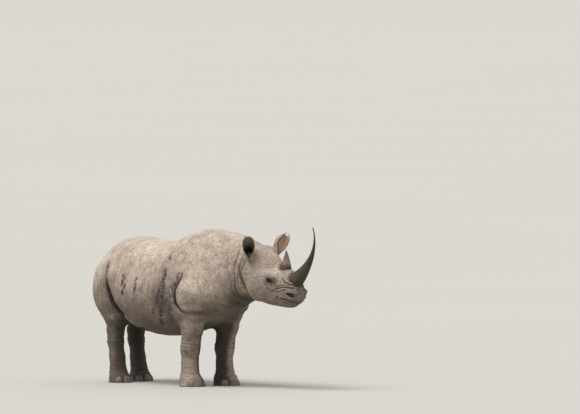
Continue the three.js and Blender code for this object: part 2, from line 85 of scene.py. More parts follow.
head = {
    "eyes": (0.994, 0, 1.056), "pitch": 15, "yaw": 2, "roll": 3,
    "sections": [
        (-0.40, 0.19, -0.15, 0.0, 0.13),
        (-0.31, 0.238, -0.225, -0.02, 0.15),
        (-0.23, 0.205, -0.268, -0.05, 0.158),
        (-0.15, 0.145, -0.27, -0.06, 0.16),
        (-0.07, 0.098, -0.274, -0.06, 0.154),
        (0.0, 0.088, -0.268, -0.06, 0.142),
        (0.09, 0.082, -0.254, -0.07, 0.12),
        (0.16, 0.068, -0.240, -0.075, 0.108),
        (0.23, 0.040, -0.218, -0.08, 0.10),
        (0.29, 0.004, -0.182, -0.085, 0.086),
        (0.335, -0.03, -0.145, -0.088, 0.070),
    ],
    "ends": (0.09, 0.10), "fullness": 2.3,
    "masses": [
        ((-0.205, 0.050, 0.098), (0.108, 0.070, 0.086), 0.07),    # forehead
        ((-0.008, 0.118, 0.03), (0.07, 0.038, 0.034), 0.04),     # brow
        ((-0.175, 0.11, -0.12), (0.14, 0.07, 0.125), 0.05),      # cheek
        ((-0.285, 0.112, 0.15), (0.058, 0.074, 0.062), 0.05),    # base of the ear
        ((0.255, 0.052, -0.068), (0.056, 0.040, 0.040), 0.03),    # nostril
        ((0.275, 0, -0.116), (0.060, 0.050, 0.036), 0.035),      # upper lip
        ((0.185, 0, -0.176), (0.065, 0.048, 0.036), 0.035),       # chin
        ((-0.17, 0, 0.118), (0.13, 0.06, 0.068), 0.06),           # middle of the forehead
        ((0.045, 0, 0.050), (0.085, 0.075, 0.056), 0.045),       # under the rear horn
        ((0.125, 0, 0.072), (0.055, 0.055, 0.044), 0.035),       # between the horns
    ],
}
foreLeg = {
    "spread": 0.192, "foot": (-0.008, 0.122, 0.095),
    "chain": [  # x, z, half length, half width, how far out
        (0.055, 0.90, 0.19, 0.12, 0.06),
        (0.045, 0.72, 0.165, 0.105, 0.022),
        (0.008, 0.56, 0.124, 0.092, 0.004),
        (-0.02, 0.41, 0.092, 0.084, 0),
        (-0.028, 0.35, 0.094, 0.086, 0),
        (-0.034, 0.215, 0.078, 0.076, 0),
        (-0.026, 0.095, 0.098, 0.098, 0.004),
    ],
}
hindLeg = {
    "spread": 0.172, "foot": (0.014, 0.112, 0.088),
    "chain": [
        (0, 1.0, 0.215, 0.13, 0.06),
        (0.015, 0.80, 0.198, 0.118, 0.042),
        (-0.008, 0.625, 0.13, 0.092, 0.014),
        (-0.052, 0.495, 0.098, 0.072, 0),
        (-0.05, 0.40, 0.084, 0.072, 0),
        (-0.028, 0.24, 0.072, 0.07, 0),
        (-0.006, 0.105, 0.088, 0.086, 0.002),
    ],
}
stance = {  # leg, side, how far along the body
    "fore_leg_right": (foreLeg, -1, -0.045),
    "fore_leg_left": (foreLeg, 1, 0.015),
    "hind_leg_right": (hindLeg, -1, -1.135),
    "hind_leg_left": (hindLeg, 1, -1.23),
}
tail = {"path": [(-1.40, 1.15), (-1.50, 1.112), (-1.562, 1.01), (-1.584, 0.86), (-1.582, 0.70)],
        "root": 0.038, "tip": 0.018}
ear = {
    "root": {1: (-0.276, 0.158, 0.150), -1: (-0.270, 0.180, 0.152)},  # left ear, right ear
    "length": 0.202, "across": 0.057, "deep": 0.074,
    "wall": 0.010, "sink": 0.034, "canal": ((-0.002, 0, 0.022), (0.042, 0.030, 0.085)),
    "lean": {1: (6, 25, -14), -1: (2, 17, 44)},  # forward, outward, turn
}
eye = {"centre": (0, 0.128, -0.002), "radius": 0.024}

headTurn = (Matrix.Rotation(math.radians(head["yaw"]), 3, "Z")
            @ Matrix.Rotation(math.radians(head["pitch"]), 3, "Y")
            @ Matrix.Rotation(math.radians(head["roll"]), 3, "X"))
headAxes = np.array(headTurn)
headAt = np.array(head["eyes"])
# The eyes in the frame say where the withers stand in it.
withers = boxCentre("eye_left", "eye_right") - headAt - headAxes @ (0, 0, eye["centre"][2])
withers[1:] = 0
print("withers stand at", withers.round(4))


def intoHead(p):
    return (p - headAt) @ headAxes


def outOfHead(p):
    return np.asarray(p) @ headAxes.T + headAt


def smoothstep(v, low, high):
    t = np.clip((v - low) / (high - low), 0, 1)
    return t * t * (3 - 2 * t)


def fall(v, low, high):
    return 1 - smoothstep(v, low, high)


# A soft line across one direction, and a soft spot in two.
def band(v, middle, reach):
    return np.exp(-((v - middle) / reach) ** 2)


def spot(u, v, centre, reach):
    return np.exp(-((u - centre[0]) / reach[0]) ** 2 - ((v - centre[1]) / reach[1]) ** 2)


def unit(v):
    return v / np.linalg.norm(v, axis=-1, keepdims=True)


def rotated(u, v, degrees):
    c, s = math.cos(math.radians(degrees)), math.sin(math.radians(degrees))
    return c * u - s * v, s * u + c * v


def blendForms(a, b, width):
    h = np.maximum(width - np.abs(a - b), 0) / width
    return np.minimum(a, b) - h * h * width * 0.25


def carveForm(a, b, width):
    return -blendForms(-a, b, width)


def sectionForm(part, x, y, z):
    rows = np.array(part["sections"])
    at, last = rows[:, 0], len(rows) - 1
    i = np.clip(np.searchsorted(at, x) - 1, 0, last - 1)
    t = np.clip((x - at[i]) / (at[i + 1] - at[i]), 0, 1)[:, None]
    a, b = rows[np.maximum(i - 1, 0), 1:], rows[i, 1:]
    c, d = rows[i + 1, 1:], rows[np.minimum(i + 2, last), 1:]
    smooth = b + 0.5 * t * (c - a + t * (2 * a - 5 * b + 4 * c - d + t * (3 * (b - c) + d - a)))
    top, bottom, wide, half = smooth.T
    tall = np.where(z > wide, top - wide, wide - bottom)
    full = part["fullness"]
    ring = ((np.abs(y) / half) ** full + (np.abs(z - wide) / tall) ** full) ** (1 / full)
    start = np.clip(1 - (x - at[0]) / part["ends"][0], 0, None)
    end = np.clip(1 - (at[-1] - x) / part["ends"][1], 0, None)
    return (np.sqrt(ring ** 2 + start ** 2 + end ** 2) - 1) * np.minimum(half, tall)


def massForm(mass, x, y, z):
    (cx, cy, cz), (rx, ry, rz) = mass[:2]
    ring = np.sqrt(((x - cx) / rx) ** 2 + ((y - cy) / ry) ** 2 + ((z - cz) / rz) ** 2)
    return (ring - 1) * min(rx, ry, rz)


def legForm(place, x, y, z):
    leg, side, along = place
    lx, ly = x - along, y * side - leg["spread"]
    form = np.full(x.shape, 9.0)
    for upper, lower in zip(leg["chain"], leg["chain"][1:]):
        t = np.clip((upper[1] - z) / (upper[1] - lower[1]), 0, 1)
        cx, half, across, out = (upper[k] + t * (lower[k] - upper[k]) for k in (0, 2, 3, 4))
        over = np.maximum(np.maximum(z - upper[1], lower[1] - z), 0) / across
        ring = np.sqrt(((lx - cx) / half) ** 2 + ((ly - out) / across) ** 2 + over ** 2)
        form = blendForms(form, (ring - 1) * across, 0.03)
    footX, radius, height = leg["foot"]
    radial = np.hypot(lx - footX, ly) - radius + 0.16 * np.maximum(z, 0)
    above = z - height
    pad = np.maximum(radial, above) + 0.5 * np.maximum(np.minimum(radial, above) + 0.03, 0)
    return blendForms(form, pad, 0.045)


def pathDistance(path, u, v):
    nearest = np.full(u.shape, 9.0)
    side, along = np.zeros(u.shape), np.zeros(u.shape)
    for i, ((au, av), (bu, bv)) in enumerate(zip(path, path[1:])):
        eu, ev = bu - au, bv - av
        t = np.clip(((u - au) * eu + (v - av) * ev) / (eu * eu + ev * ev), 0, 1)
        du, dv = u - au - t * eu, v - av - t * ev
        far = np.hypot(du, dv)
        closer = far < nearest
        nearest = np.where(closer, far, nearest)
        side = np.where(closer, np.sign(ev * du - eu * dv), side)
        along = np.where(closer, i + t, along)
    return nearest, side, along / (len(path) - 1)


def foldDepth(fold, x, z):
    path, depth, fade = fold
    distance, side, along = pathDistance(path, x, z)
    behind = side * distance
    count = len(path) - 1
    presence = smoothstep(np.minimum(along, 1 - along) * count, 0, 0.6)
    step = smoothstep(behind, -body["foldEdge"] / 2, body["foldEdge"] / 2)
    return depth * presence * step * np.exp(-np.maximum(behind, 0) / fade)


def tailForm(x, y, z):
    form = np.full(x.shape, 9.0)
    count = len(tail["path"]) - 1
    for i, ((ax, az), (bx, bz)) in enumerate(zip(tail["path"], tail["path"][1:])):
        ex, ez = bx - ax, bz - az
        t = np.clip(((x - ax) * ex + (z - az) * ez) / (ex * ex + ez * ez), 0, 1)
        thick = tail["root"] + (tail["tip"] - tail["root"]) * ((i + t) / count) ** 0.7
        far = np.sqrt((x - ax - t * ex) ** 2 + y ** 2 + (z - az - t * ez) ** 2) - thick
        form = blendForms(form, far, 0.02)
    return form


def partForm(part, x, y, z):
    form = sectionForm(part, x, y, z)
    for mass in part["masses"]:
        form = blendForms(form, massForm(mass, x, np.abs(y), z), mass[2])
    return form


# How far each form's edge melts into the skin, in metres.
blends = {"head": 0.055, "leg": 0.07, "tail": 0.045, "sole": 0.012, "ear": 0.016, "canal": 0.006,
          "lid": 0.016, "slit": 0.003, "nostrilRim": 0.014, "nostrilHole": 0.010}


def bodyForm(p):
    x, y, z = p.T
    form = blendForms(partForm(body, x, y, z), partForm(head, *intoHead(p).T), blends["head"])
    for place in stance.values():
        form = blendForms(form, legForm(place, x, y, z), blends["leg"])
    for fold in body["folds"]:
        form = form + foldDepth(fold, x, z) * np.minimum(np.abs(y) / body["foldInner"], 1)
    return form


# What the skin adds to the form of the head: the cups of the ears, lids, nostrils.
def earPlace(side):
    forward, outward, turn = (math.radians(a) for a in ear["lean"][side])
    return np.array(Matrix.Rotation(-outward, 3, "X") @ Matrix.Rotation(forward, 3, "Y")
                    @ Matrix.Rotation(turn, 3, "Z"))


def intoEar(h, side):
    return (h * (1, side, 1) - ear["root"][side]) @ earPlace(side)


def outOfEar(e, side):
    return (np.asarray(e) @ earPlace(side).T + ear["root"][side]) * (1, side, 1)


# How wide the ear's cup is and how far round it reaches, from its root (0) to its tip (1).
def earSize(t):
    narrowing = np.sqrt(1 - (np.maximum(t - 0.66, 0) / 0.345) ** 2.4)
    return (0.60 + 0.40 * smoothstep(t, 0.05, 0.62)) * narrowing


def earReach(t):
    return np.pi - 0.05 - 1.15 * smoothstep(t, 0.15, 0.6)


def earForm(h, side):
    ex, ey, ez = intoEar(h, side).T
    full = ear["length"] + ear["sink"]
    t = np.clip((ez + ear["sink"]) / full, 0, 1)
    size = earSize(t)
    across, deep = ear["across"] * size, ear["deep"] * size
    ring = np.hypot(ex / deep, ey / across)
    wall = ear["wall"] * (1 - 0.4 * t)
    shell = carveForm((ring - 1) * across, (ring - 1) * across + wall, 0.003)
    edge = (np.abs(np.arctan2(ey, -ex)) - earReach(t)) * ring * across
    cup = -blendForms(-shell, -edge, 0.006)
    ends = np.maximum(ez - ear["length"], -ear["sink"] - ez)
    return np.maximum(cup, ends)


def earCanal(h, side):
    return massForm(ear["canal"], *intoEar(h, side).T)


lids = {"thick": 0.0040, "opening": (0.0225, 0.0145), "tilt": 7}
nostril = {
    "holes": [((0.254, 0.102, -0.080), (0.038, 0.036, 0.0125)),
              ((0.276, 0.094, -0.087), (0.023, 0.034, 0.0175))],
    "rims": [((0.250, 0.080, -0.056), (0.050, 0.026, 0.018)),
             ((0.210, 0.082, -0.088), (0.018, 0.024, 0.028)),
             ((0.254, 0.070, -0.114), (0.048, 0.028, 0.018))],
    "tilt": -5,
}


def tilted(hx, hz, centre, degrees):
    u, v = rotated(hx - centre[0], hz - centre[2], degrees)
    return centre[0] + u, centre[2] + v


def nostrilForm(mass, hx, side, hz):
    nx, nz = tilted(hx, hz, mass[0], nostril["tilt"])
    return massForm(mass, nx, side, nz)


def skinForm(p):
    form = blendForms(bodyForm(p), tailForm(*p.T), blends["tail"])
    form = carveForm(form, p[:, 2], blends["sole"])  # flat soles
    near = p[:, 0] > 0.6
    h = intoHead(p[near])
    hx, hy, hz = h.T
    side = np.abs(hy)
    f = form[near]
    for whichSide in (1, -1):
        f = blendForms(f, earForm(h, whichSide), blends["ear"])
        f = carveForm(f, earCanal(h, whichSide), blends["canal"])
    eyeX, eyeY, eyeZ = eye["centre"]
    ex, ez = tilted(hx, hz, eye["centre"], lids["tilt"])
    away = np.sqrt((hx - eyeX) ** 2 + (side - eyeY) ** 2 + (hz - eyeZ) ** 2)
    f = blendForms(f, away - eye["radius"] - lids["thick"], blends["lid"])
    wide, high = lids["opening"]
    slit = (np.hypot((ex - eyeX) / wide, (ez - eyeZ) / high) - 1) * high
    f = carveForm(f, np.maximum(slit, eyeY + lids["thick"] - side), blends["slit"])
    for mass in nostril["rims"]:
        f = blendForms(f, nostrilForm(mass, hx, side, hz), blends["nostrilRim"])
    for mass in nostril["holes"]:
        f = carveForm(f, nostrilForm(mass, hx, side, hz), blends["nostrilHole"])
    form[near] = f
    return form


# Moves points onto the surface, by steps down its slope, and gives its direction there.
def settle(field, p, passes=3, apart=0.0006, longest=0.012):
    for _ in range(passes):
        value = field(p)
        slope = np.stack([(field(p + move) - field(p - move)) / (2 * apart) for move in np.eye(3) * apart],
                         axis=1)
        move = value / np.maximum((slope ** 2).sum(1), 0.05)
        p = p - slope * np.clip(move, -longest, longest)[:, None]
    return p, unit(slope)


# A mesh of the surface in a box: one corner in each cell that it crosses, found on a rough grid first.
def surfaceNet(field, low, high, step, every=4, reach=5.5):
    count = np.ceil((np.array(high) - low) / step).astype(int) + 1
    axes = [low[k] + step * np.arange(count[k]) for k in range(3)]
    rough = [a[::every] for a in axes]
    grid = np.stack(np.meshgrid(*rough, indexing="ij"), axis=-1)
    coarse = field(grid.reshape(-1, 3)).reshape(grid.shape[:3])
    pick = [np.minimum((np.arange(n) + every // 2) // every, len(r) - 1) for n, r in zip(count, rough)]
    value = coarse[np.ix_(*pick)]
    near = np.nonzero(np.abs(value) < reach * step)
    value[near] = field(np.stack([axes[k][near[k]] for k in range(3)], axis=1))
    inside = value < 0
    corners = sum(inside[a:count[0] - 1 + a, b:count[1] - 1 + b, c:count[2] - 1 + c].astype(np.int8)
                  for a in (0, 1) for b in (0, 1) for c in (0, 1))
    cell = np.stack(np.nonzero((corners > 0) & (corners < 8)), axis=1)
    total, hits = np.zeros((len(cell), 3)), np.zeros(len(cell))
    for axis in range(3):
        for first in (0, 1):
            for second in (0, 1):
                start = cell.copy()
                start[:, (axis + 1) % 3] += first
                start[:, (axis + 2) % 3] += second
                stop = start.copy()
                stop[:, axis] += 1
                va, vb = value[tuple(start.T)], value[tuple(stop.T)]
                crossed = (va < 0) != (vb < 0)
                t = np.where(crossed, va / np.where(crossed, va - vb, 1), 0)
                point = start + t[:, None] * (stop - start)
                total += np.where(crossed[:, None], point, 0)
                hits += crossed
    points = np.array(low) + step * total / hits[:, None]
    index = np.full(count - 1, -1)
    index[tuple(cell.T)] = np.arange(len(cell))
    quads = []
    for axis in range(3):
        b, c = (axis + 1) % 3, (axis + 2) % 3
        here = np.stack(np.nonzero(np.diff(inside, axis=axis)), axis=1)
        here = here[(here[:, b] > 0) & (here[:, c] > 0)
                    & (here[:, b] < count[b] - 1) & (here[:, c] < count[c] - 1)]
        ring = []
        for db, dc in ((-1, -1), (0, -1), (0, 0), (-1, 0)):
            spot = here.copy()
            spot[:, b] += db
            spot[:, c] += dc
            ring.append(index[tuple(spot.T)])
        ring = np.stack(ring, axis=1)
        outward = inside[tuple(here.T)]
        ring[~outward] = ring[~outward][:, ::-1]
        quads.append(ring)
    return points, np.concatenate(quads)


# The corners round the open edge of a mesh, in order.
def openLoop(quads):
    a, b = quads.ravel(), np.roll(quads, -1, axis=1).ravel()
    pairs = set(zip(a.tolist(), b.tolist()))
    following = {i: j for i, j in pairs if (j, i) not in pairs}
    start = min(following)
    loop = [start]
    while following[loop[-1]] != start:
        loop.append(following[loop[-1]])
    return loop


# Faces that close the gap between two open edges.
def strip(points, first, second):
    first = first[::-1]
    where = np.array(points)
    start = int(np.argmin(np.linalg.norm(where[second] - where[first[0]], axis=1)))
    second = second[start:] + second[:start]
    faces, i, j = [], 0, 0
    while i < len(first) or j < len(second):
        a, b = first[i % len(first)], second[j % len(second)]
        nextA, nextB = first[(i + 1) % len(first)], second[(j + 1) % len(second)]
        alongA = np.linalg.norm(where[nextA] - where[b]) if i < len(first) else np.inf
        alongB = np.linalg.norm(where[nextB] - where[a]) if j < len(second) else np.inf
        if alongA < alongB:
            faces.append((a, nextA, b))
            i += 1
        else:
            faces.append((a, nextB, b))
            j += 1
    return faces


def lumps(p, size, seed=0.0, octaves=3):
    return np.array([noise.fractal(Vector(q) / size + Vector((seed, 0, 0)), 1.0, 2.0, octaves)
                     for q in p.tolist()])


def groove(distance, width, lip=0.35):
    return band(distance, 0, width) - lip * band(distance, 1.9 * width, 0.9 * width)


creases = {  # paths in x and z on the body's sides: path, depth, width
    "flank": ([(-1.14, 1.21), (-1.123, 1.118), (-1.085, 1.017), (-1.062, 0.905), (-1.022, 0.81),
               (-0.98, 0.738), (-0.90, 0.66), (-0.82, 0.60), (-0.74, 0.55), (-0.68, 0.53)], 0.050, 0.022),
    "elbow": ([(-0.01, 1.13), (-0.04, 1.044), (-0.083, 0.96), (-0.108, 0.876), (-0.109, 0.793),
               (-0.076, 0.733), (-0.03, 0.702), (0.057, 0.703), (0.148, 0.70), (0.25, 0.708),
               (0.34, 0.742)], 0.021, 0.019),
    "neckRear": ([(0.478, 1.27), (0.487, 1.189), (0.502, 1.094), (0.52, 1.015), (0.526, 0.926),
                  (0.53, 0.84)], 0.007, 0.010),
    "neckMiddle": ([(0.596, 1.37), (0.589, 1.262), (0.58, 1.2), (0.571, 1.143), (0.583, 1.047),
                    (0.565, 0.935), (0.555, 0.84)], 0.010, 0.011),
    "neckFront": ([(0.66, 1.29), (0.65, 1.223), (0.638, 1.144), (0.653, 1.048), (0.670, 0.953),
                   (0.70, 0.87)], 0.008, 0.010),
    "neckFine": ([(0.545, 1.16), (0.548, 1.05), (0.540, 0.95)], 0.005, 0.008),
    "neckFiner": ([(0.612, 1.20), (0.618, 1.10), (0.622, 1.00), (0.628, 0.92)], 0.005, 0.008),
    "neckFinest": ([(0.455, 1.12), (0.465, 1.02), (0.475, 0.93)], 0.004, 0.008),
}
headCreases = {  # the same in the head's own x and z
    "jaw": ([(-0.305, 0.15), (-0.338, 0.08), (-0.356, 0.0), (-0.342, -0.07), (-0.305, -0.135),
             (-0.25, -0.20), (-0.20, -0.27), (-0.16, -0.34)], 0.018, 0.020),
    "mouth": ([(0.112, -0.150), (0.150, -0.149), (0.20, -0.144), (0.26, -0.147), (0.32, -0.154),
               (0.48, -0.16)], 0.013, 0.0065),
    "mouthCorner": ([(0.128, -0.128), (0.110, -0.146), (0.106, -0.168), (0.118, -0.188)], 0.006, 0.008),
    "cheekFold": ([(-0.03, -0.075), (0.02, -0.108), (0.07, -0.118), (0.112, -0.135)], 0.0035, 0.007),
    "cheekFoldLow": ([(-0.01, -0.115), (0.03, -0.135), (0.075, -0.142), (0.10, -0.15)], 0.003, 0.006),
    "cheekFoldHigh": ([(-0.06, -0.045), (-0.015, -0.084), (0.04, -0.098), (0.09, -0.104)], 0.003, 0.006),
    "noseFold": ([(0.060, -0.096), (0.085, -0.076), (0.128, -0.050), (0.183, -0.030), (0.246, -0.018),
                  (0.30, -0.016)], 0.0065, 0.0065),
    "noseFoldLow": ([(0.100, -0.108), (0.130, -0.088), (0.165, -0.066), (0.205, -0.050)], 0.0045, 0.006),
    "noseFoldHigh": ([(0.072, -0.066), (0.105, -0.040), (0.145, -0.020), (0.195, -0.008), (0.25, -0.004)],
                     0.0045, 0.006),
    "hornRing": ([(0.112, 0.052), (0.135, 0.026), (0.165, 0.012), (0.20, 0.006), (0.26, 0.006),
                  (0.33, -0.006)], 0.008, 0.007),
    "snoutFront": ([(0.318, -0.008), (0.328, -0.035), (0.322, -0.066)], 0.005, 0.007),
    "snoutSide": ([(0.288, -0.004), (0.300, -0.028), (0.298, -0.048)], 0.004, 0.006),
    "underEye": ([(-0.045, -0.012), (-0.030, -0.030), (0.0, -0.037), (0.028, -0.030), (0.045, -0.012)],
                 0.0045, 0.0055),
    "underEyeLow": ([(-0.060, -0.020), (-0.036, -0.048), (0.002, -0.058), (0.044, -0.045), (0.066, -0.018)],
                    0.0035, 0.006),
    "overEye": ([(-0.042, 0.006), (-0.026, 0.024), (0.0, 0.030), (0.028, 0.022), (0.046, 0.002)],
                0.0045, 0.0055),
    "overEyeHigh": ([(-0.060, 0.004), (-0.036, 0.040), (0.004, 0.048), (0.044, 0.034), (0.068, 0.0)],
                    0.0035, 0.007),
    "behindEye": ([(-0.040, -0.004), (-0.070, 0.004), (-0.105, 0.0)], 0.003, 0.006),
    "aheadEye": ([(0.035, -0.010), (0.075, -0.030), (0.10, -0.058)], 0.0035, 0.006),
}
darkest = {"flank": 0.75, "elbow": 0.42, "jaw": 0.12, "mouth": 0.9, "mouthCorner": 0.5}  # creases in shadow
relief = {  # heights and distances in metres
    # the left side's share also sets how dark the painted shade and shadow in its creases are
    "leftShare": 0.55,                 # how deep the left side's creases are beside the right's
    "wander": (0.12, 0.010), "headWander": (0.05, 0.0025),  # the creases' straying: how long, how far
    "shadow": (0.032, 0.15, 1.4),      # the flank's shadow: width at its top, how it grows down it
    "overhang": (0.007, 0.055, 0.03),  # the belly's edge over the flank: height, how far off, width
    "rib": (0.0022, 0.085), "ring": (0.0028, 0.034), "eyeFold": (0.0022, 0.0125),  # height, how far apart
    "ringsAt": ((0.40, 1), (0.13, 0.9)), "ringsReach": 0.05,  # rings of the legs: height up, strength
    "collar": (0.006, 0.016), "hornSize": 0.08,            # skin round a horn's root: height, width
    "lumps": ((0.0045, 0.16, 1.0), (0.0016, 0.035, 2.0)),  # slack skin: height, size, seed
}


# How far the skin stands in or out from its smooth form, the painted shade in its creases and hollows, and
# the darkest painted shade in its deepest ones.
def skinRelief(p, normals):
    x, y, z = p.T
    rise, hollow, deep = np.zeros(len(p)), np.zeros(len(p)), np.zeros(len(p))

    # presses a groove into the skin and paints shade into it, with painted shadow in the creases listed in
    # darkest
    def press(name, distance, presence, near, depth, width, shade):
        cut = groove(distance, width) * presence
        rise[near] -= (depth * cut)[near]
        hollow[near] += (np.maximum(cut, 0) * shade)[near]
        dark = np.where(near, smoothstep(cut, 0.25, 0.85), 0) * darkest.get(name, 0)
        np.maximum(deep, dark, out=deep)

    flank = smoothstep(np.abs(normals[:, 1]), 0.15, 0.5)
    share = np.where(y < 0, 1, relief["leftShare"])
    size, far = relief["wander"]
    wander = lumps(p, size, 3.0, 2) * far
    for name, (path, depth, width) in creases.items():
        distance, behind, along = pathDistance(path, x + wander, z + wander)
        if name == "flank":  # the belly's skin hangs over the thigh, which lies in its shadow
            top, grows, power = relief["shadow"]
            shadow = top + grows * along ** power
            # painted shadow on the thigh beside the crease, wider lower down
            shade = fall(distance, 0.55 * shadow, 1.2 * shadow) * (behind > 0) * 0.9 * share
            np.maximum(deep, shade * smoothstep(along, 0.02, 0.35) * flank * (z < 1.2), out=deep)
            distance = np.where(behind < 0, 2.4 * distance, distance)
            height, off, wide = relief["overhang"]
            rise += (height * band(distance, off, wide) * (behind < 0) * flank
                     * smoothstep(along, 0.1, 0.4))
        presence = smoothstep(np.minimum(along, 1 - along), 0, 0.16) * flank * share
        if name == "elbow":
            presence = presence * (1 - 0.72 * smoothstep(along, 0.42, 0.62))
        press(name, distance, presence, distance < width * 5, depth, width, min(depth / 0.016, 1.4))

    h = intoHead(p)
    hx, hy, hz = h.T
    onHead = (hx > -0.42) & (x > 0.55)
    away = np.abs(hy) > 0.03
    size, far = relief["headWander"]
    wander = lumps(p, size, 9.0, 2) * far
    for name, (path, depth, width) in headCreases.items():
        distance, _, along = pathDistance(path, hx + wander, hz + wander)
        near = onHead & (distance < width * 5) & (away | (name in ("jaw", "mouth")))
        presence = smoothstep(np.minimum(along, 1 - along), 0, 0.14)
        if name == "jaw":
            presence = presence * (0.45 + 0.55 * smoothstep(along, 0.35, 0.6))
        shade = min(depth / 0.0065, 0.95) * (0.6 if name == "jaw" else 1)
        press(name, distance, presence, near, depth, width, shade)

    # ribs, and the rings of the legs, with painted shade in the rings' grooves
    height, apart = relief["rib"]
    ribs = np.sin((x + 0.22 * (z - 0.9) + lumps(p, 0.3, 5.0, 2) * 0.03) * 2 * np.pi / apart)
    ribPlace = smoothstep(x, -0.95, -0.80) * fall(x, -0.25, -0.12)
    rise += height * ribs * ribPlace * smoothstep(z, 0.62, 0.78) * fall(z, 1.15, 1.3) * flank
    height, apart = relief["ring"]
    rings = np.sin((z + 0.03 * lumps(p, 0.15, 7.0, 2)) * 2 * np.pi / apart)
    ringPlace = fall(z, 0.46, 0.60) * sum(strength * band(z, up, relief["ringsReach"])
                                          for up, strength in relief["ringsAt"])
    rise += height * rings * ringPlace
    hollow += 0.35 * np.maximum(-rings, 0) * ringPlace
    # a raised collar round each horn's root, with painted shade round the root
    height, wide = relief["collar"]
    for horn in horns.values():
        up, ring = hornRing(horn, h)
        rise += (height * band((ring - 1.0) * relief["hornSize"], 0, wide)
                 * (up > -0.05) * (up < 0.06) * onHead)
        hollow += 0.45 * band((ring - 0.98) * relief["hornSize"], 0, 0.006) * onHead * (up > -0.05)

    # folds round the eye and on the cheek below it, with painted shade in their grooves
    height, apart = relief["eyeFold"]
    eyeX, eyeZ = hx - eye["centre"][0], hz - eye["centre"][2]
    eyeFar = np.hypot(eyeX, 1.15 * eyeZ) + lumps(p, 0.03, 13.0, 2) * 0.004
    folds = np.sin(eyeFar * 2 * np.pi / apart)
    around = smoothstep(eyeFar, 0.028, 0.036) * fall(eyeFar, 0.060, 0.085)
    around = around * smoothstep(0.6 * eyeX - eyeZ, -0.045, 0.01) * onHead * (np.abs(hy) > 0.09)
    below = smoothstep(eyeFar, 0.070, 0.085) * fall(eyeFar, 0.12, 0.15) * (eyeZ < 0) * onHead
    below = below * smoothstep(eyeX, -0.03, 0.01) * fall(eyeX, 0.06, 0.09)
    around = np.maximum(around, 0.55 * below)
    rise += height * folds * around
    hollow += 0.9 * np.maximum(-folds, 0) * around
    for height, size, seed in relief["lumps"]:
        rise += height * lumps(p, size, seed, 3)
    return rise, hollow, deep


horns = {
    "horn_front": {"axis": [(0.200, 0.022), (0.335, 0.165), (0.462, 0.41), (0.334, 0.598)],
                   "halfLength": 0.090, "halfWidth": 0.072, "taper": 1.8, "tip": 0.06, "sink": 0.04,
                   "rings": 150, "sides": 72},
    "horn_rear": {"axis": [(0.046, 0.06), (0.058, 0.116), (0.058, 0.19), (0.026, 0.284)],
                  "halfLength": 0.084, "halfWidth": 0.070, "taper": 1.0, "tip": 0.05, "sink": 0.025,
                  "rings": 80, "sides": 64},
}


def hornRing(horn, h):
    (ax, az), (bx, bz) = horn["axis"][:2]
    length = math.hypot(bx - ax, bz - az)
    ux, uz = (bx - ax) / length, (bz - az) / length
    along = (h[:, 0] - ax) * ux + (h[:, 2] - az) * uz
    across = (h[:, 0] - ax) * uz - (h[:, 2] - az) * ux
    return along, np.hypot(across / horn["halfLength"], h[:, 1] / horn["halfWidth"])


skinSettings = {
    "bodyStep": 0.010, "headStep": 0.0038,   # mesh size on the body and on the head and neck
    "parting": 0.50, "gap": 0.002,            # where the body's mesh ends, and how far on the other starts
}


def makeObject(name, points, faces, smooth=True):
    mesh = bpy.data.meshes.new(name)
    mesh.from_pydata([tuple(q) for q in points], [], faces)
    mesh.polygons.foreach_set("use_smooth", [smooth] * len(mesh.polygons))
    made = bpy.data.objects.new(name, mesh)
    scene.collection.objects.link(made)
    return made


def makeSkin():
    parting = skinSettings["parting"]
    rear, rearQuads = surfaceNet(skinForm, (-1.66, -0.48, -0.04), (parting, 0.48, 1.58),
                                 skinSettings["bodyStep"])
    front, frontQuads = surfaceNet(skinForm, (parting + skinSettings["gap"], -0.36, 0.70),
                                   (1.45, 0.34, 1.58), skinSettings["headStep"])
    frontQuads = frontQuads + len(rear)
    points, normals = settle(skinForm, np.concatenate([rear, front]))
    seam = strip(points, openLoop(rearQuads), openLoop(frontQuads))
    rise, hollow, deep = skinRelief(points, normals)
    floorFade = smoothstep(points[:, 2], 0.002, 0.03)
    points = points + normals * (rise * floorFade)[:, None]
    made = makeObject("skin", points + withers, rearQuads.tolist() + frontQuads.tolist() + seam)
    print("skin:", len(points), "corners,", len(made.data.polygons), "faces")
    return made, points, normals, {"hollow": hollow, "deep": deep}


skin, skinPoints, skinNormals, skinPaintedShade = makeSkin()


# Stores a value or a vector at each corner of a mesh, for its finish to read.
def paint(mesh, name, values):
    values = np.asarray(values, dtype=np.float32)
    kind, key = ("FLOAT", "value") if values.ndim == 1 else ("FLOAT_VECTOR", "vector")
    mesh.attributes.new(name, kind, "POINT").data.foreach_set(key, values.ravel())


# Heights up the ears between which the painted shade deep inside them clears, and how pale their bare
# insides are; the left ear's is far paler, as painted light through its thin wall.
earCanalShade = {1: (-0.02, 0.045), -1: (0.050, 0.150)}
earPaleAndLit = {1: 1.0, -1: 0.35}
stained = {"centre": (-0.27, 0.80), "reach": (0.20, 0.28)}  # the dirty patch behind the right elbow
# dust over the withers, the shoulder and the rump, which also stands for painted highlight there
dustAndHighlightSpots = [  # over the withers, the shoulder and the rump: centre and reach in x and z, strength
    ((0.22, 1.36), (0.22, 0.14), 0.5),
    ((0.09, 0.98), (0.24, 0.30), 0.75),
    ((-1.30, 1.12), (0.22, 0.20), 0.75),
]
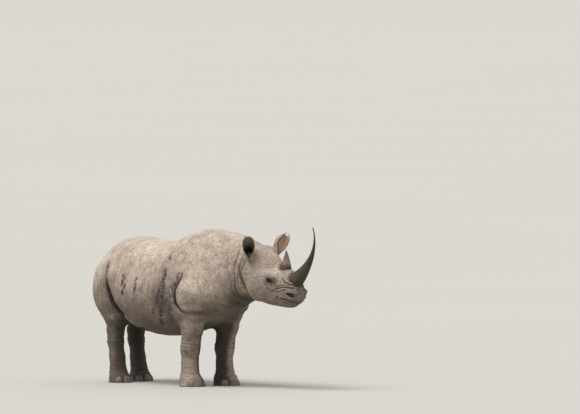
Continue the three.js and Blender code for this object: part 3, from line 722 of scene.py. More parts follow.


# Where the skin is dusty, wet or bare, and where shade and highlights are painted on it, worked out from
# its place on the animal.
def skinZones(p, normals):
    x, y, z = p.T
    h = intoHead(p)
    hx, hy, hz = h.T
    onHead = smoothstep(hx, -0.45, -0.25) * (x > 0.5)
    patch = lumps(p, 0.22, 21.0, 3)
    muzzle = smoothstep(hx + 0.25 * (-hz - 0.05) + 0.05 * patch, 0.09, 0.28) * onHead
    inward = smoothstep(-normals[:, 1] * np.sign(y) + 0.2 * patch, -0.1, 0.6)
    # faces that look down, for the painted shade under them
    below = smoothstep(-normals[:, 2] + 0.35 * patch, -0.1, 0.9) * (1 - muzzle) * (1 - 0.6 * onHead)
    # painted shade under the body and the jaw, between the legs and low on the flank; mud and painted shade
    # on the hind legs; a dirty patch behind the right elbow; the cheek and forelegs darker low down
    under = np.maximum.reduce([
        0.88 * below,
        fall(z, 0.50, 0.85) * inward,
        0.72 * fall(z, 0.60, 1.20) * fall(x, -0.2, -0.05),                             # low on the flank
        smoothstep(x, 0.30, 0.45) * fall(z, 0.80, 0.92) * (1 - onHead),                # throat
        (0.90 + 0.4 * patch) * spot(x, z, stained["centre"], stained["reach"]) * (y < 0),
        0.95 * (x < -0.8) * fall(z, 0.58, 0.80),                                       # hind legs
        0.22 * onHead * fall(hz, -0.06, 0.03) * fall(hx, -0.02, 0.06),                 # cheek
        0.38 * (x > -0.3) * fall(z, 0.60, 0.74),                                       # forelegs
    ])
    # painted shade between the legs, under the neck, on the hind legs' fronts under the belly, and behind
    # the jaw
    inside = np.maximum.reduce([
        inward * fall(z, 0.60, 0.80) * (np.abs(y) < 0.24),
        smoothstep(x, 0.42, 0.5) * fall(z, 0.84, 0.96) * (1 - onHead),
        smoothstep(normals[:, 0], 0.2, 0.8) * (x < -0.8) * fall(z, 0.55, 0.75),
        1.3 * smoothstep(x, 0.48, 0.58) * fall(hx, -0.27, -0.20) * fall(z, 0.87, 0.93),
    ])
    # surfaces facing up are paler: dust, and painted light from above
    upward = smoothstep(normals[:, 2] + 0.3 * patch, 0.1, 0.95) * (1 - onHead) * smoothstep(z, 0.9, 1.2)
    behindFlank, which, along = pathDistance(creases["flank"][0], x, z)
    # painted highlight: a pale line on the belly's edge along the flank's crease
    highlightRim = band(behindFlank, 0.014, 0.012) * (which < 0) * (x < -0.7)
    # dust, with painted highlight where light falls from above and along the belly's edge
    dust = np.maximum.reduce([
        0.42 * upward,
        *(strength * spot(x, z, centre, reach) for centre, reach, strength in dustAndHighlightSpots),
        0.5 * spot(hx, hz, (-0.18, 0.10), (0.12, 0.09)) * onHead,                      # forehead
        0.9 * highlightRim * smoothstep(along, 0.1, 0.3) * fall(along, 0.8, 1),
    ])
    # painted shadow of the belly's edge on the front of the thigh
    thigh = fall(behindFlank, 0, 0.16) * (x < -0.85) * (which > 0) * fall(z, 0.95, 1.2)
    face = onHead * smoothstep(hx, -0.02, 0.06) * (1 - muzzle * 0.3) * fall(hz, 0.02, 0.06)
    inner, canal = np.zeros(len(p)), np.zeros(len(p))
    # the insides of the ears: pale bare skin, with painted light through the left ear's thin wall, and
    # painted shade deep in each cup
    for side in (1, -1):
        ex, ey, ez = intoEar(h, side).T
        size = earSize(np.clip((ez + ear["sink"]) / (ear["length"] + ear["sink"]), 0, 1))
        ring = np.hypot(ex / (ear["deep"] * size), ey / (ear["across"] * size))
        cup = smoothstep(1 - ring, 0.04, 0.10) * smoothstep(ez, 0.0, 0.02) * (hz > 0.1) * (ez < 0.23)
        cup = cup * (np.abs(hy - side * 0.2) < 0.15)
        inner = np.maximum(inner, cup * earPaleAndLit[side])
        canal = np.maximum(canal, cup * fall(ez, *earCanalShade[side]))
    eyeX, eyeY, eyeZ = eye["centre"]
    eyeAway = np.sqrt((hx - eyeX) ** 2 + (np.abs(hy) - eyeY) ** 2 + (1.3 * (hz - eyeZ)) ** 2)
    # painted shade inside the nostrils
    nose = np.maximum.reduce([smoothstep(-nostrilForm(mass, hx, np.abs(hy), hz), -0.004, 0.004)
                              for mass in nostril["holes"]])
    wet, drips = np.zeros(len(p)), smoothstep(lumps(p, 0.045, 33.0, 2), -0.45, -0.12)
    wander = 0.012 * lumps(p, 0.05, 31.0, 2)
    for path, wide, force in stains:
        distance = pathDistance(path, x + wander, z)[0]
        wet = np.maximum(wet, force * band(distance, 0, wide) * drips * (y < 0))
    trunk = smoothstep(z, 0.50, 0.66) * (1 - 0.8 * smoothstep(z, 1.14, 1.30)) * (1 - onHead)
    upright = smoothstep(z, 0.55, 0.7) * (1 - 0.7 * smoothstep(z, 1.18, 1.34)) * (1 - onHead)
    return {"muzzle": muzzle, "under": under, "inside": inside, "dust": dust, "earInner": inner,
            "nostril": nose * onHead, "wet": wet, "trunk": trunk * (1 - 0.8 * smoothstep(x, -0.25, -0.05)),
            "legs": fall(z, 0.46, 0.62), "thigh": thigh, "canal": canal,
            "lid": fall(eyeAway, eye["radius"] + 0.007, eye["radius"] + 0.028),
            "face": face * smoothstep(-hz, -0.05, 0.0), "head": onHead, "upright": upright}


stains = [  # streaks down the right side: path in x and z, half width, strength
    ([(-0.244, 1.10), (-0.252, 1.005), (-0.243, 0.901), (-0.255, 0.805), (-0.283, 0.708), (-0.34, 0.60)],
     0.018, 1.8),
    ([(-0.275, 1.0), (-0.30, 0.88), (-0.33, 0.78), (-0.38, 0.70)], 0.014, 1.0),
    ([(-0.212, 0.93), (-0.205, 0.84), (-0.22, 0.70)], 0.014, 0.8),
    ([(-0.075, 1.075), (-0.102, 0.989), (-0.149, 0.902), (-0.18, 0.81), (-0.163, 0.70)], 0.020, 0.9),
    ([(-0.130, 1.01), (-0.165, 0.93), (-0.187, 0.86), (-0.195, 0.76), (-0.21, 0.62)], 0.023, 0.7),
    ([(-0.845, 1.03), (-0.84, 0.95), (-0.812, 0.87)], 0.020, 2.4),
    ([(-0.800, 1.02), (-0.79, 0.93)], 0.012, 1.4),
    ([(-0.622, 1.02), (-0.618, 0.96), (-0.612, 0.89)], 0.016, 1.9),
    ([(-0.239, 1.232), (-0.236, 1.222)], 0.014, 1.2),
]
skinLayers = {**skinPaintedShade, **skinZones(skinPoints, skinNormals)}
for layerName, values in skinLayers.items():
    paint(skin.data, layerName, values)
paint(skin.data, "headPlace", intoHead(skinPoints))


skinMap = {  # the unwrap: how much finer each region is laid out, and the gap between its pieces
    "fine": {"head": 2.2, "ear": 2.0, "leg": 1.1, "tail": 1.2, "trunk": 1.0},
    "cap": 0.72, "gap": 0.03, "hair": 0.003,
}


# The regions of the skin at a point: whether it is in one, the region's own axis, and the place round it.
def skinRegions(p, facing):
    h, turned = intoHead(p), facing @ headAxes
    here = p[:, 0] > 0.55
    for side in (1, -1):
        e, f = intoEar(h, side), (turned * (1, side, 1)) @ earPlace(side)
        ring = np.hypot(e[:, 0] / ear["deep"], e[:, 1] / ear["across"])
        inEar = (here & (e[:, 2] > 0.012) & (ring < 1.25) & (h[:, 1] * side > 0.03)
                 & (e[:, 2] < ear["length"] + 0.02))
        outer = f[:, 0] * e[:, 0] + f[:, 1] * e[:, 1] > 0
        for part in (outer, ~outer):
            yield "ear", inEar & part, (-e[:, 0], e[:, 1], e[:, 2]), f[:, 2], 0.065
    inHead = here & (h[:, 0] > -0.34)
    yield "head", inHead, (h[:, 2] + 0.07, h[:, 1], h[:, 0]), turned[:, 0], 0.15
    x, y, z = p.T
    for limb, side, shift in stance.values():
        isFore = limb is foreLeg
        near = (z < (0.62 if isFore else 0.70)) & (y * side > 0) & ((x > -0.6) == isFore)
        yield "leg", near, (side * (y - side * limb["spread"]), x - shift + 0.02, z), facing[:, 2], 0.10
    tailX = np.interp(z, *zip(*((pz, px) for px, pz in tail["path"][::-1])))
    inTail = (x < -1.45) & (tailForm(x, y, z) < 0.006) & (z < 1.08)
    yield "tail", inTail, (tailX - x, y, z), facing[:, 2], 0.04
    yield "trunk", np.full(len(p), True), (z - 0.93, y, x), facing[:, 0], 0.36


# Unwraps the skin: each region is rolled out round its axis, its ends are laid flat, and all lie in rows.
def unwrapSkin(made, p, normals):
    mesh = made.data
    corner, start, total = (np.empty(n, dtype=np.int32)
                            for n in (len(mesh.loops), len(mesh.polygons), len(mesh.polygons)))
    mesh.loops.foreach_get("vertex_index", corner)
    mesh.polygons.foreach_get("loop_start", start)
    mesh.polygons.foreach_get("loop_total", total)
    faceOf = np.repeat(np.arange(len(start)), total)
    middle = np.add.reduceat(p[corner], start) / total[:, None]
    facing = unit(np.add.reduceat(normals[corner], start))
    free = np.full(len(start), True)
    pieces = []
    regions = zip(skinRegions(middle, facing), skinRegions(p[corner], normals[corner]))
    for (kind, within, (mu, mv, _), endwise, radius), (_, _, (u, v, w), _, _) in regions:
        taken = free & within
        free &= ~taken
        fine = skinMap["fine"][kind]
        for end in (0, 1, -1):
            cap = skinMap["cap"]
            faces = taken & (np.abs(endwise) <= cap if end == 0 else endwise * end > cap)
            chosen = faces[faceOf]
            if not chosen.any():
                continue
            at = np.arctan2(mv, mu)[faceOf[chosen]]
            turn = np.arctan2(v[chosen], u[chosen]) - at
            turn = at + (turn + np.pi) % (2 * np.pi) - np.pi
            flat = (w[chosen], turn * radius) if end == 0 else (u[chosen], v[chosen] * end)
            laid = np.stack(flat, axis=1) * fine
            laid -= laid.min(axis=0)
            if laid[:, 1].max() > laid[:, 0].max():
                laid = np.stack([laid[:, 1], laid[:, 0].max() - laid[:, 0]], axis=1)
            pieces.append((chosen, laid))
    pieces.sort(key=lambda piece: -piece[1][:, 1].max())
    area = sum(np.prod(laid.max(axis=0) + skinMap["gap"]) for _, laid in pieces)
    width = max(1.08 * math.sqrt(area), max(laid[:, 0].max() for _, laid in pieces) + 2 * skinMap["gap"])
    unwrapped = np.zeros((len(corner), 2))
    left, low, tall = skinMap["gap"], skinMap["gap"], 0
    for chosen, laid in pieces:
        wide, high = laid.max(axis=0)
        if left + wide + skinMap["gap"] > width:
            left, low, tall = skinMap["gap"], low + tall + skinMap["gap"], 0
        unwrapped[chosen] = laid + (left, low)
        left, tall = left + wide + skinMap["gap"], max(tall, high)
    unwrapped /= max(width, low + tall + skinMap["gap"])
    layer = mesh.uv_layers.new(name="OFBake")
    layer.uv.foreach_set("vector", unwrapped.astype(np.float32).ravel())
    print("unwrap:", len(pieces), "pieces")
    firstCorner = np.zeros(len(p), dtype=np.int32)
    firstCorner[corner[::-1]] = np.arange(len(corner))[::-1]
    return unwrapped[firstCorner]


skinPlaces = unwrapSkin(skin, skinPoints, skinNormals)
nearestSkin = KDTree(len(skinPoints))
for index, point in enumerate((skinPoints + withers).tolist()):
    nearestSkin.insert(point, index)
nearestSkin.balance()


# The colour of a tone given as red, green and blue up to 255. Other values pass through.
def colourOf(value):
    if isinstance(value, tuple) and len(value) == 3:
        return tuple(((c / 255 + 0.055) / 1.055) ** 2.4 for c in value) + (1,)
    return value


# A socket in a finish. Sums, products and the like on it add the Math nodes for them.
class Wire:
    def __init__(self, finish, socket):
        self.finish, self.socket = finish, socket

    def math(self, operation, *values):
        return self.finish.node("ShaderNodeMath", {"operation": operation}, dict(enumerate(values)))

    def __add__(self, other):
        return self.math("ADD", self, other)

    def __sub__(self, other):
        return self.math("SUBTRACT", self, other)

    def __rsub__(self, other):
        return self.math("SUBTRACT", other, self)

    def __mul__(self, other):
        return self.math("MULTIPLY", self, other)

    def __truediv__(self, other):
        return self.math("DIVIDE", self, other)

    def __pow__(self, other):
        return self.math("POWER", self, other)

    __radd__, __rmul__ = __add__, __mul__

    # 0 up to low, 1 from high on, and a smooth change between them
    def rise(self, low, high):
        return self.finish.node("ShaderNodeMapRange", {"interpolation_type": "SMOOTHSTEP"},
                                {"Value": self, "From Min": low, "From Max": high})


# A tree of nodes, with the one way to add a node to it.
class Nodes:
    def __init__(self, tree, place):
        self.tree = tree
        self.place = self.node("ShaderNodeTexCoord", {}, {}, place)

    def node(self, kind, settings, sockets, output=0):
        made = self.tree.nodes.new(kind)
        for name, value in settings.items():
            if name == "stops":
                for _ in range(len(value) - 2):
                    made.color_ramp.elements.new(0.5)
                for stop, (at, colour) in zip(made.color_ramp.elements, value):
                    stop.position, stop.color = at, colourOf(colour)
            else:
                setattr(made, name, value)
        for name, value in sockets.items():
            self.join(made.inputs[name], value)
        return Wire(self, made.outputs[output])

    def join(self, socket, value):
        if isinstance(value, Wire):
            self.tree.links.new(value.socket, socket)
        else:
            socket.default_value = value

    def part(self, vector, axis):
        return self.node("ShaderNodeSeparateXYZ", {}, {"Vector": vector}, axis)

    def layer(self, name, output="Fac"):
        return self.node("ShaderNodeAttribute", {"attribute_name": name}, {}, output)

    def stretch(self, factors, vector=None):
        return self.node("ShaderNodeVectorMath", {"operation": "MULTIPLY"},
                         {0: vector or self.place, 1: factors})

    def clouds(self, scale, detail=4, vector=None, roughness=0.55):
        return self.node("ShaderNodeTexNoise", {}, {"Vector": vector or self.place, "Scale": scale,
                                                    "Detail": detail, "Roughness": roughness})

    def cracks(self, scale, vector=None):
        return self.node("ShaderNodeTexVoronoi", {"feature": "DISTANCE_TO_EDGE"},
                         {"Vector": vector or self.place, "Scale": scale})

    def warp(self, scale, amount, vector=None):
        bend = self.node("ShaderNodeTexNoise", {}, {"Vector": vector or self.place, "Scale": scale,
                                                    "Detail": 2}, "Color")
        return self.node("ShaderNodeVectorMath", {"operation": "MULTIPLY_ADD"},
                         {0: bend, 1: (amount,) * 3, 2: vector or self.place})

    def ramp(self, value, *stops):
        return self.node("ShaderNodeValToRGB", {"stops": stops}, {"Fac": value}, "Color")

    # goes from one value to another as the mask goes from 0 to 1
    def turns(self, start, end, mask):
        return self.node("ShaderNodeMix", {"data_type": "FLOAT"}, {0: mask, 2: start, 3: end}, 0)

    # lays a colour over another where the mask is 1
    def over(self, under, colour, mask):
        return self.node("ShaderNodeMix", {"data_type": "RGBA"},
                         {0: mask, 6: colourOf(under), 7: colourOf(colour)}, 2)

    def bump(self, height, distance, strength=1.0, below=None):
        sockets = {"Height": height, "Distance": distance, "Strength": strength}
        if below:
            sockets["Normal"] = below
        return self.node("ShaderNodeBump", {}, sockets)


# A material made of nodes round one shader.
class Finish(Nodes):
    def __init__(self, name, **values):
        self.material = bpy.data.materials.new(name)
        self.material.use_nodes = True
        super().__init__(self.material.node_tree, "Object")
        self.shader = self.tree.nodes["Principled BSDF"]
        for socket, value in values.items():
            self.put(socket.replace("_", " "), value)

    def put(self, name, value):
        self.join(self.shader.inputs[name], value)

    def onto(self, *pieces):
        for piece in pieces:
            piece.data.materials.clear()
            piece.data.materials.append(self.material)


# tones of the hide: under, hollow, deep, canal and nostril are painted shade (hollow also darkens
# speckles); the dust tone is dust with painted highlight; earInner is pale skin with painted light through
# the left ear
hide = {
    "pale": (190, 173, 158), "mid": (158, 142, 128), "dark": (126, 112, 100),
    "dust": (204, 188, 171), "under": (66, 56, 49), "hollow": (56, 47, 41), "muzzle": (105, 92, 85),
    "earInner": (240, 212, 186), "canal": (18, 15, 15), "nostril": (22, 18, 17), "wet": (40, 32, 31),
    "lid": (26, 21, 21), "deep": (22, 18, 16),
    "sore": (140, 26, 40), "soreAt": (-0.244, -0.349, 1.115), "soreWide": 0.013,
    "halo": (62, 48, 50), "haloAt": (-0.244, -0.349, 1.110), "haloWide": 0.034,
    "blotch": (150, 138, 118), "blotchAt": (-1.125, -0.279, 0.628), "blotchWide": 0.034,
    "crackScale": 85, "crackDepth": 0.0022, "wrinkleDepth": 0.010,
}


def hideFinish():
    f = Finish("rhinoceros hide", Specular_IOR_Level=0.3)
    on = {name: f.layer(name) for name in skinLayers}
    patches = f.clouds(2.6, 5)
    mottle = f.clouds(13, 6, roughness=0.65)
    speckle = f.clouds(55, 4, roughness=0.6)
    grit = f.clouds(160, 3)
    hoops = f.clouds(58, 4, f.stretch((1.0, 0.13, 0.13)), 0.6)       # wrinkles round the barrel
    rings = f.clouds(60, 4, f.stretch((0.2, 0.2, 1.0)), 0.6)         # and round the legs
    face = f.layer("headPlace", "Vector")
    furrows = f.clouds(75, 4, f.stretch((0.22, 1.0, 1.0), f.warp(9, 0.03, face)), 0.6)  # from eye to nose
    pores = f.clouds(78, 4, roughness=0.65)
    rungs = f.clouds(62, 3, f.stretch((0.5, 0.5, 1.6)))              # breaks in the wet streaks
    plain = lines = f.turns(speckle, pores, on["head"])
    for wrinkles, name in ((hoops, "trunk"), (rings, "legs"), (furrows, "face")):
        lines = f.turns(lines, wrinkles, on[name])
    bent = f.warp(14, 0.02)
    scale = hide["crackScale"]
    cells = f.cracks(scale, bent)
    for factors, vector, mask in (((1.0, 0.4, 0.4), bent, on["upright"] * 0.8),
                                  ((0.4, 0.4, 1.0), bent, on["legs"] * 0.8),
                                  ((0.28, 1.0, 1.0), f.warp(11, 0.03, face), on["face"])):
        cells = f.turns(cells, f.cracks(scale, f.stretch(factors, vector)), mask)
    fine = f.cracks(scale * 2.7, bent)
    creased = (1 - cells.rise(0.0, 0.16)) * 0.6 + (1 - fine.rise(0.0, 0.2)) * 0.3
    spread = f.turns(mottle, pores, on["head"] * 0.75)
    colour = f.ramp(patches * 0.45 + spread * 0.55,
                    (0.38, hide["dark"]), (0.5, hide["mid"]), (0.64, hide["pale"]))
    coats = [  # one over another: tone, and where it lies
        # dust, with painted highlight on top and along the belly's edge
        ("dust", on["dust"] * (mottle.rise(0.3, 0.65) * 0.4 + 0.45)),
        # painted shade under the body and jaw, between the legs and low on the flank, with mud on the hind
        # legs and a dirty patch behind the right elbow
        ("under", on["under"] * (speckle.rise(0.3, 0.7) * 0.2 + 0.75)),
        # painted shadow of the belly's edge on the thigh
        ("under", on["thigh"] * 0.55),
        ("muzzle", on["muzzle"] * (mottle.rise(0.25, 0.6) * 0.3 + 0.65)),
        # painted shade along the wrinkles
        ("hollow", (1 - lines.rise(0.36, 0.52))
         * (on["trunk"] * 0.14 + on["legs"] * 0.14 + on["face"] * 0.30 + 0.28)),
        ("hollow", (1 - plain.rise(0.34, 0.5)) * (on["head"] * 0.06 + 0.16)),
        ("pale", plain.rise(0.52, 0.62) * (on["head"] * 0.16 + 0.34) * (1 - on["under"] * 0.8)),
        # painted shade in the creases and folds
        ("hollow", on["hollow"] * 0.85),
        # painted shade in the hide's cracks
        ("hollow", creased * (on["face"] * 0.25 + 0.32)),
        # painted shade between the legs, under the neck and behind the jaw
        ("deep", on["inside"] * 0.5),
        # painted shadow in the deepest creases and on the thigh beside the flank's crease
        ("deep", on["deep"]),
        ("lid", on["lid"] * 0.9),
        ("wet", on["wet"] * (rungs.rise(0.40, 0.50) * 0.85 + 0.15)),
        # pale bare skin inside the ears, with painted light through the left ear's thin wall
        ("earInner", on["earInner"] * 0.8),
        # painted shade deep inside the ears
        ("canal", on["canal"]),
        # painted shade inside the nostrils
        ("nostril", on["nostril"]),
    ]
    for mark, soft, most in (("halo", 1.0, 0.5), ("sore", 0.35, 1.0), ("blotch", 1.0, 0.6)):
        away = f.node("ShaderNodeVectorMath", {"operation": "DISTANCE"},
                      {0: f.place, 1: tuple(withers + hide[mark + "At"])}, "Value")
        ragged = away / hide[mark + "Wide"] + (speckle - 0.5) * 1.6
        coats.append((mark, (1 - ragged.rise(1 - soft, 1.15)) * most))
    for name, mask in coats:
        colour = f.over(colour, hide[name], mask)
    f.put("Base Color", colour)
    f.put("Roughness", 0.78 - on["wet"] * 0.25 - on["nostril"] * 0.3 + (grit - 0.5) * 0.2)
    height = f.bump(lines, hide["wrinkleDepth"], 0.55)
    height = f.bump(cells.rise(0.0, 0.2) + fine.rise(0.0, 0.25) * 0.4, hide["crackDepth"], 0.8, height)
    f.put("Normal", f.bump(grit, 0.0008, 0.5, height))
    return f


hideFinish().onto(skin)
print("hide: laid on the skin")


def ringLoft(rings):
    rings = np.asarray(rings)
    count, sides = rings.shape[:2]
    base = np.arange(count * sides).reshape(count, sides)
    nextSide = np.roll(base, -1, axis=1)
    quads = np.stack([base[:-1], nextSide[:-1], nextSide[1:], base[1:]], axis=-1).reshape(-1, 4)
    ends = [base[0, ::-1].tolist(), base[-1].tolist()]
    return rings.reshape(-1, 3), quads.tolist() + ends


def bezier(corners, t):
    a, b, c, d = (np.array([x, 0, z]) for x, z in corners)
    t = t[:, None]
    return (1 - t) ** 3 * a + 3 * (1 - t) ** 2 * t * b + 3 * (1 - t) * t * t * c + t ** 3 * d


def evenly(path, count):
    reach = np.concatenate([[0], np.cumsum(np.linalg.norm(np.diff(path, axis=0), axis=1))])
    at = np.linspace(0, reach[-1], count)
    return np.stack([np.interp(at, reach, path[:, k]) for k in range(3)], axis=1)
hornWaist = {"depth": 0.0018, "at": 0.16, "reach": 0.05}  # the narrow place over a horn's frayed base
def makeHorn(name):
    horn = horns[name]
    curve = bezier(horn["axis"], np.linspace(0, 1, 300))
    lead = curve[0] - unit(curve[1] - curve[0]) * horn["sink"]
    path = evenly(np.concatenate([[lead], curve]), horn["rings"])
    along = unit(np.gradient(path, axis=0))
    across = np.cross(along, (0, 1, 0))
    t = np.linspace(0, 1, horn["rings"])
    angle = np.linspace(0, 2 * np.pi, horn["sides"], endpoint=False)
    reach = np.linalg.norm(np.diff(path, axis=0), axis=1).sum()
    grown = np.clip((t * reach - horn["sink"]) / (reach - horn["sink"]), 0, 1)
    size = horn["tip"] + (1 - horn["tip"]) * (1 - grown) ** horn["taper"]
    rough = 1 - smoothstep(t, 0.12, 0.6)
    rings, fibre = [], []
    for i, centre in enumerate(path):
        fade = min(1.0, size[i] * 2.5)
        around = [noise.noise(Vector((4.5 * math.cos(a), 4.5 * math.sin(a), t[i] * 3 + horn["sink"] * 50)))
                  for a in angle]
        strands = [noise.noise(Vector((15 * math.cos(a), 15 * math.sin(a), t[i] * 9))) for a in angle]
        growth = math.sin(t[i] * 210) * 0.4 + noise.noise(Vector((t[i] * 60, 0, 4))) * 0.8
        lift = (0.0026 * np.array(around) + (0.0006 + 0.0022 * rough[i]) * np.array(strands)
                + 0.0011 * rough[i] * growth) * fade
        lift -= hornWaist["depth"] * math.exp(-((t[i] - hornWaist["at"]) / hornWaist["reach"]) ** 2)
        halfU = horn["halfWidth"] * size[i] + lift
        halfV = horn["halfLength"] * size[i] + lift
        rings.append(centre + np.outer(halfU * np.cos(angle), (0, 1, 0))
                     + np.outer(halfV * np.sin(angle), across[i]))
        fibre += [(math.cos(a), math.sin(a), t[i]) for a in angle]
    points, faces = ringLoft(rings)
    made = makeObject(name + "_fibres", outOfHead(points) + withers, faces)
    paint(made.data, "fibre", fibre)
    return made


hornLooks = {
    "horn_front": {"base": (66, 55, 42), "low": (66, 59, 51), "mid": (62, 57, 52), "tip": (66, 64, 62),
                   "streak": (38, 33, 29), "frayed": (112, 97, 76),
                   "gloss": 0.36, "shine": 0.22, "band": 0.20},
    "horn_rear": {"base": (58, 46, 40), "low": (120, 101, 89), "mid": (130, 112, 100), "tip": (92, 82, 75),
                  "streak": (62, 51, 44), "frayed": (112, 84, 62),
                  "gloss": 0.42, "shine": 0.35, "band": 0.46},
}


def hornFinish(name):
    looks = hornLooks[name]
    f = Finish(name.replace("_", " "), Specular_IOR_Level=looks["shine"])
    fibre = f.layer("fibre", "Vector")
    t = f.part(fibre, "Z")
    strands = f.clouds(9, 5, f.stretch((1, 1, 0.5), fibre))
    fine = f.clouds(34, 4, f.stretch((1, 1, 0.35), fibre))
    wear = f.clouds(3.2, 5, f.stretch((1, 1, 4), fibre))
    along = t + (wear - 0.5) * 0.25
    colour = f.ramp(along, (looks["band"] - 0.03, looks["base"]), (looks["band"] + 0.04, looks["low"]),
                    (0.55, looks["mid"]), (0.92, looks["tip"]))
    colour = f.over(colour, looks["streak"],
                    (1 - strands.rise(0.38, 0.52)) * 0.45 + (1 - fine.rise(0.36, 0.5)) * 0.25)
    atBase = 1 - (t + (strands - 0.5) * 0.15).rise(looks["band"] - 0.06, looks["band"] + 0.03)
    colour = f.over(colour, looks["frayed"], atBase * fine.rise(0.5, 0.6) * 0.8)
    colour = f.over(colour, looks["streak"], atBase * (1 - wear.rise(0.4, 0.5)) * 0.7)
    f.put("Base Color", colour)
    f.put("Roughness", 0.72 - t.rise(0.1, 0.7) * (0.72 - looks["gloss"]) + (fine - 0.5) * 0.2)
    height = f.bump(strands + fine * atBase, 0.006, 0.6)
    f.put("Normal", f.bump(fine, 0.002, 0.6, height))
    return f


hornPieces = {name: makeHorn(name) for name in horns}
for name, piece in hornPieces.items():
    hornFinish(name).onto(piece)
print("horns: front and rear made")

eyeLooks = {"rings": 40, "sides": 56, "iris": 0.60, "pupil": 0.30, "cornea": 0.07,
            "gaze": {1: (78, -4), -1: (-78, -4)}}  # turn from straight ahead, and tilt


def makeEye(name, side):
    turn, tilt = (math.radians(a) for a in eyeLooks["gaze"][side])
    aim = Matrix(headAxes.tolist()) @ Matrix.Rotation(turn, 3, "Z") @ Matrix.Rotation(-tilt, 3, "Y")
    rings = []
    for i in range(eyeLooks["rings"] + 1):
        polar = math.pi * min(max(i / eyeLooks["rings"], 0.002), 0.998)
        radius = eye["radius"] * (1 + eyeLooks["cornea"] * math.exp(-(polar / 0.5) ** 4))
        rings.append([(radius * math.cos(polar), radius * math.sin(polar) * math.cos(a),
                       radius * math.sin(polar) * math.sin(a))
                      for a in np.linspace(0, 2 * math.pi, eyeLooks["sides"], endpoint=False)])
    points, faces = ringLoft(rings)
    made = makeObject(name, points, faces)
    centre = outOfHead(np.array([(eye["centre"][0], side * eye["centre"][1], eye["centre"][2])]))[0]
    made.matrix_world = Matrix.Translation(Vector(centre + withers)) @ aim.to_4x4()
    return made


def eyeFinish():
    f = Finish("eye", Coat_Weight=0.25, Coat_Roughness=0.04, Roughness=0.4, Specular_IOR_Level=0.1)
    x, y, z = (f.part(f.place, axis) for axis in "XYZ")
    radius = eye["radius"]
    out = (y * y + z * z) ** 0.5 / radius
    pupilOut = ((y * 0.62) ** 2 + z * z) ** 0.5 / radius
    ahead = x.rise(0.0, 0.002)
    streaks = f.clouds(900, 4, f.stretch((0.2, 1, 1)))
    iris = f.ramp(out + (streaks - 0.5) * 0.12, (0.18, (34, 21, 14)), (0.58, (24, 15, 11)))
    white = f.ramp(f.clouds(160, 4), (0.3, (20, 15, 13)), (0.7, (32, 25, 22)))
    inIris = (1 - out.rise(eyeLooks["iris"] - 0.03, eyeLooks["iris"] + 0.02)) * ahead
    inPupil = (1 - pupilOut.rise(eyeLooks["pupil"] * 0.6 - 0.02, eyeLooks["pupil"] * 0.6 + 0.02)) * ahead
    colour = f.over(white, iris, inIris)
    f.put("Base Color", f.over(colour, (6, 5, 5), inPupil))
    f.put("Normal", f.bump(f.clouds(260, 2), 0.0002, 0.2))
    return f


bothSides = {1: "left", -1: "right"}
eyes = {side: makeEye("eyeball_" + word, side) for side, word in bothSides.items()}
eyeFinish().onto(*eyes.values())

nails = {"across": 0.036, "height": 0.046, "depth": 0.026, "spread": 48, "inset": 0.016, "rise": 0.020,
         "middle": 1.12, "lean": 12.6, "rings": 40, "sides": 44,
         "ridge": (0.012, 34), "growth": (0.012, 26),  # lines up the nail and across it: height, how many
         "rough": 0.02, "edge": (0.0025, 0.0015)}      # the lower edge: its height, and how uneven it is

def makeNails(leg):
    limb, side, shift = stance[leg]
    footAt, footRadius = limb["foot"][:2]
    points, faces = [], []
    for index in range(3):
        turn = (index - 1) * math.radians(nails["spread"])
        size = nails["middle"] if index == 1 else 1
        rings = []
        for polar in np.linspace(0.02, math.pi - 0.02, nails["rings"]):
            ring = []
            for a in np.linspace(0, 2 * math.pi, nails["sides"], endpoint=False):
                u, v, w = math.sin(polar) * math.cos(a), math.sin(polar) * math.sin(a), math.cos(polar)
                square = (abs(v) ** 3 + abs(w) ** 3 + 0.02) ** (-1 / 3) * max(abs(v), abs(w), 0.2)
                ridges = (nails["ridge"][0] * math.sin(v * nails["ridge"][1] + index) * max(u, 0)
                          + nails["rough"] * noise.noise(Vector((v * 9, w * 2.5, index + shift * 7))))
                waver = noise.noise(Vector((v * 3, w, index))) * 3
                grown = nails["growth"][0] * math.sin(w * nails["growth"][1] + waver) * max(u, 0)
                reach = 1 + ridges + grown
                x = nails["depth"] * u * reach
                y = nails["across"] * size * v * (0.97 + 0.03 * square) * (1 + 0.02 * w)
                z = nails["height"] * size * w
                x, z = rotated(x, z, nails["lean"])
                ring.append((x + footRadius - nails["inset"], y, z + nails["rise"]))
            rings.append(ring)
        shape, quads = ringLoft(rings)
        low, uneven = nails["edge"]
        shape[:, 2] = np.maximum(shape[:, 2], low + uneven * lumps(shape, 0.01, index, 1))
        c, s = math.cos(turn), math.sin(turn)
        shape = shape @ np.array([(c, s, 0), (-s, c, 0), (0, 0, 1)])
        shape = shape + (shift + footAt, side * limb["spread"], 0)
        faces += [[len(points) + i for i in face] for face in quads]
        points += shape.tolist()
    return makeObject(leg.replace("leg", "nails"), np.array(points) + withers, faces)


def nailFinish():
    f = Finish("toenail", Specular_IOR_Level=0.45)
    ridges = f.clouds(160, 4, f.stretch((1, 1, 0.12)))
    bands = f.clouds(45, 4, f.stretch((0.4, 0.4, 3)))
    mud = f.clouds(30, 5)
    colour = f.ramp(bands, (0.3, (72, 63, 54)), (0.55, (104, 94, 82)), (0.75, (130, 120, 105)))
    colour = f.over(colour, (58, 50, 43), (1 - ridges.rise(0.36, 0.5)) * 0.5)
    f.put("Base Color", f.over(colour, (120, 104, 86), mud.rise(0.5, 0.68) * 0.6))
    f.put("Roughness", 0.48 + mud.rise(0.45, 0.65) * 0.35)
    f.put("Normal", f.bump(bands, 0.002, 0.5, f.bump(ridges, 0.0015, 0.7)))
    return f


nailPieces = {leg: makeNails(leg) for leg in stance}
nailFinish().onto(*nailPieces.values())
print("toenails: three on each foot")


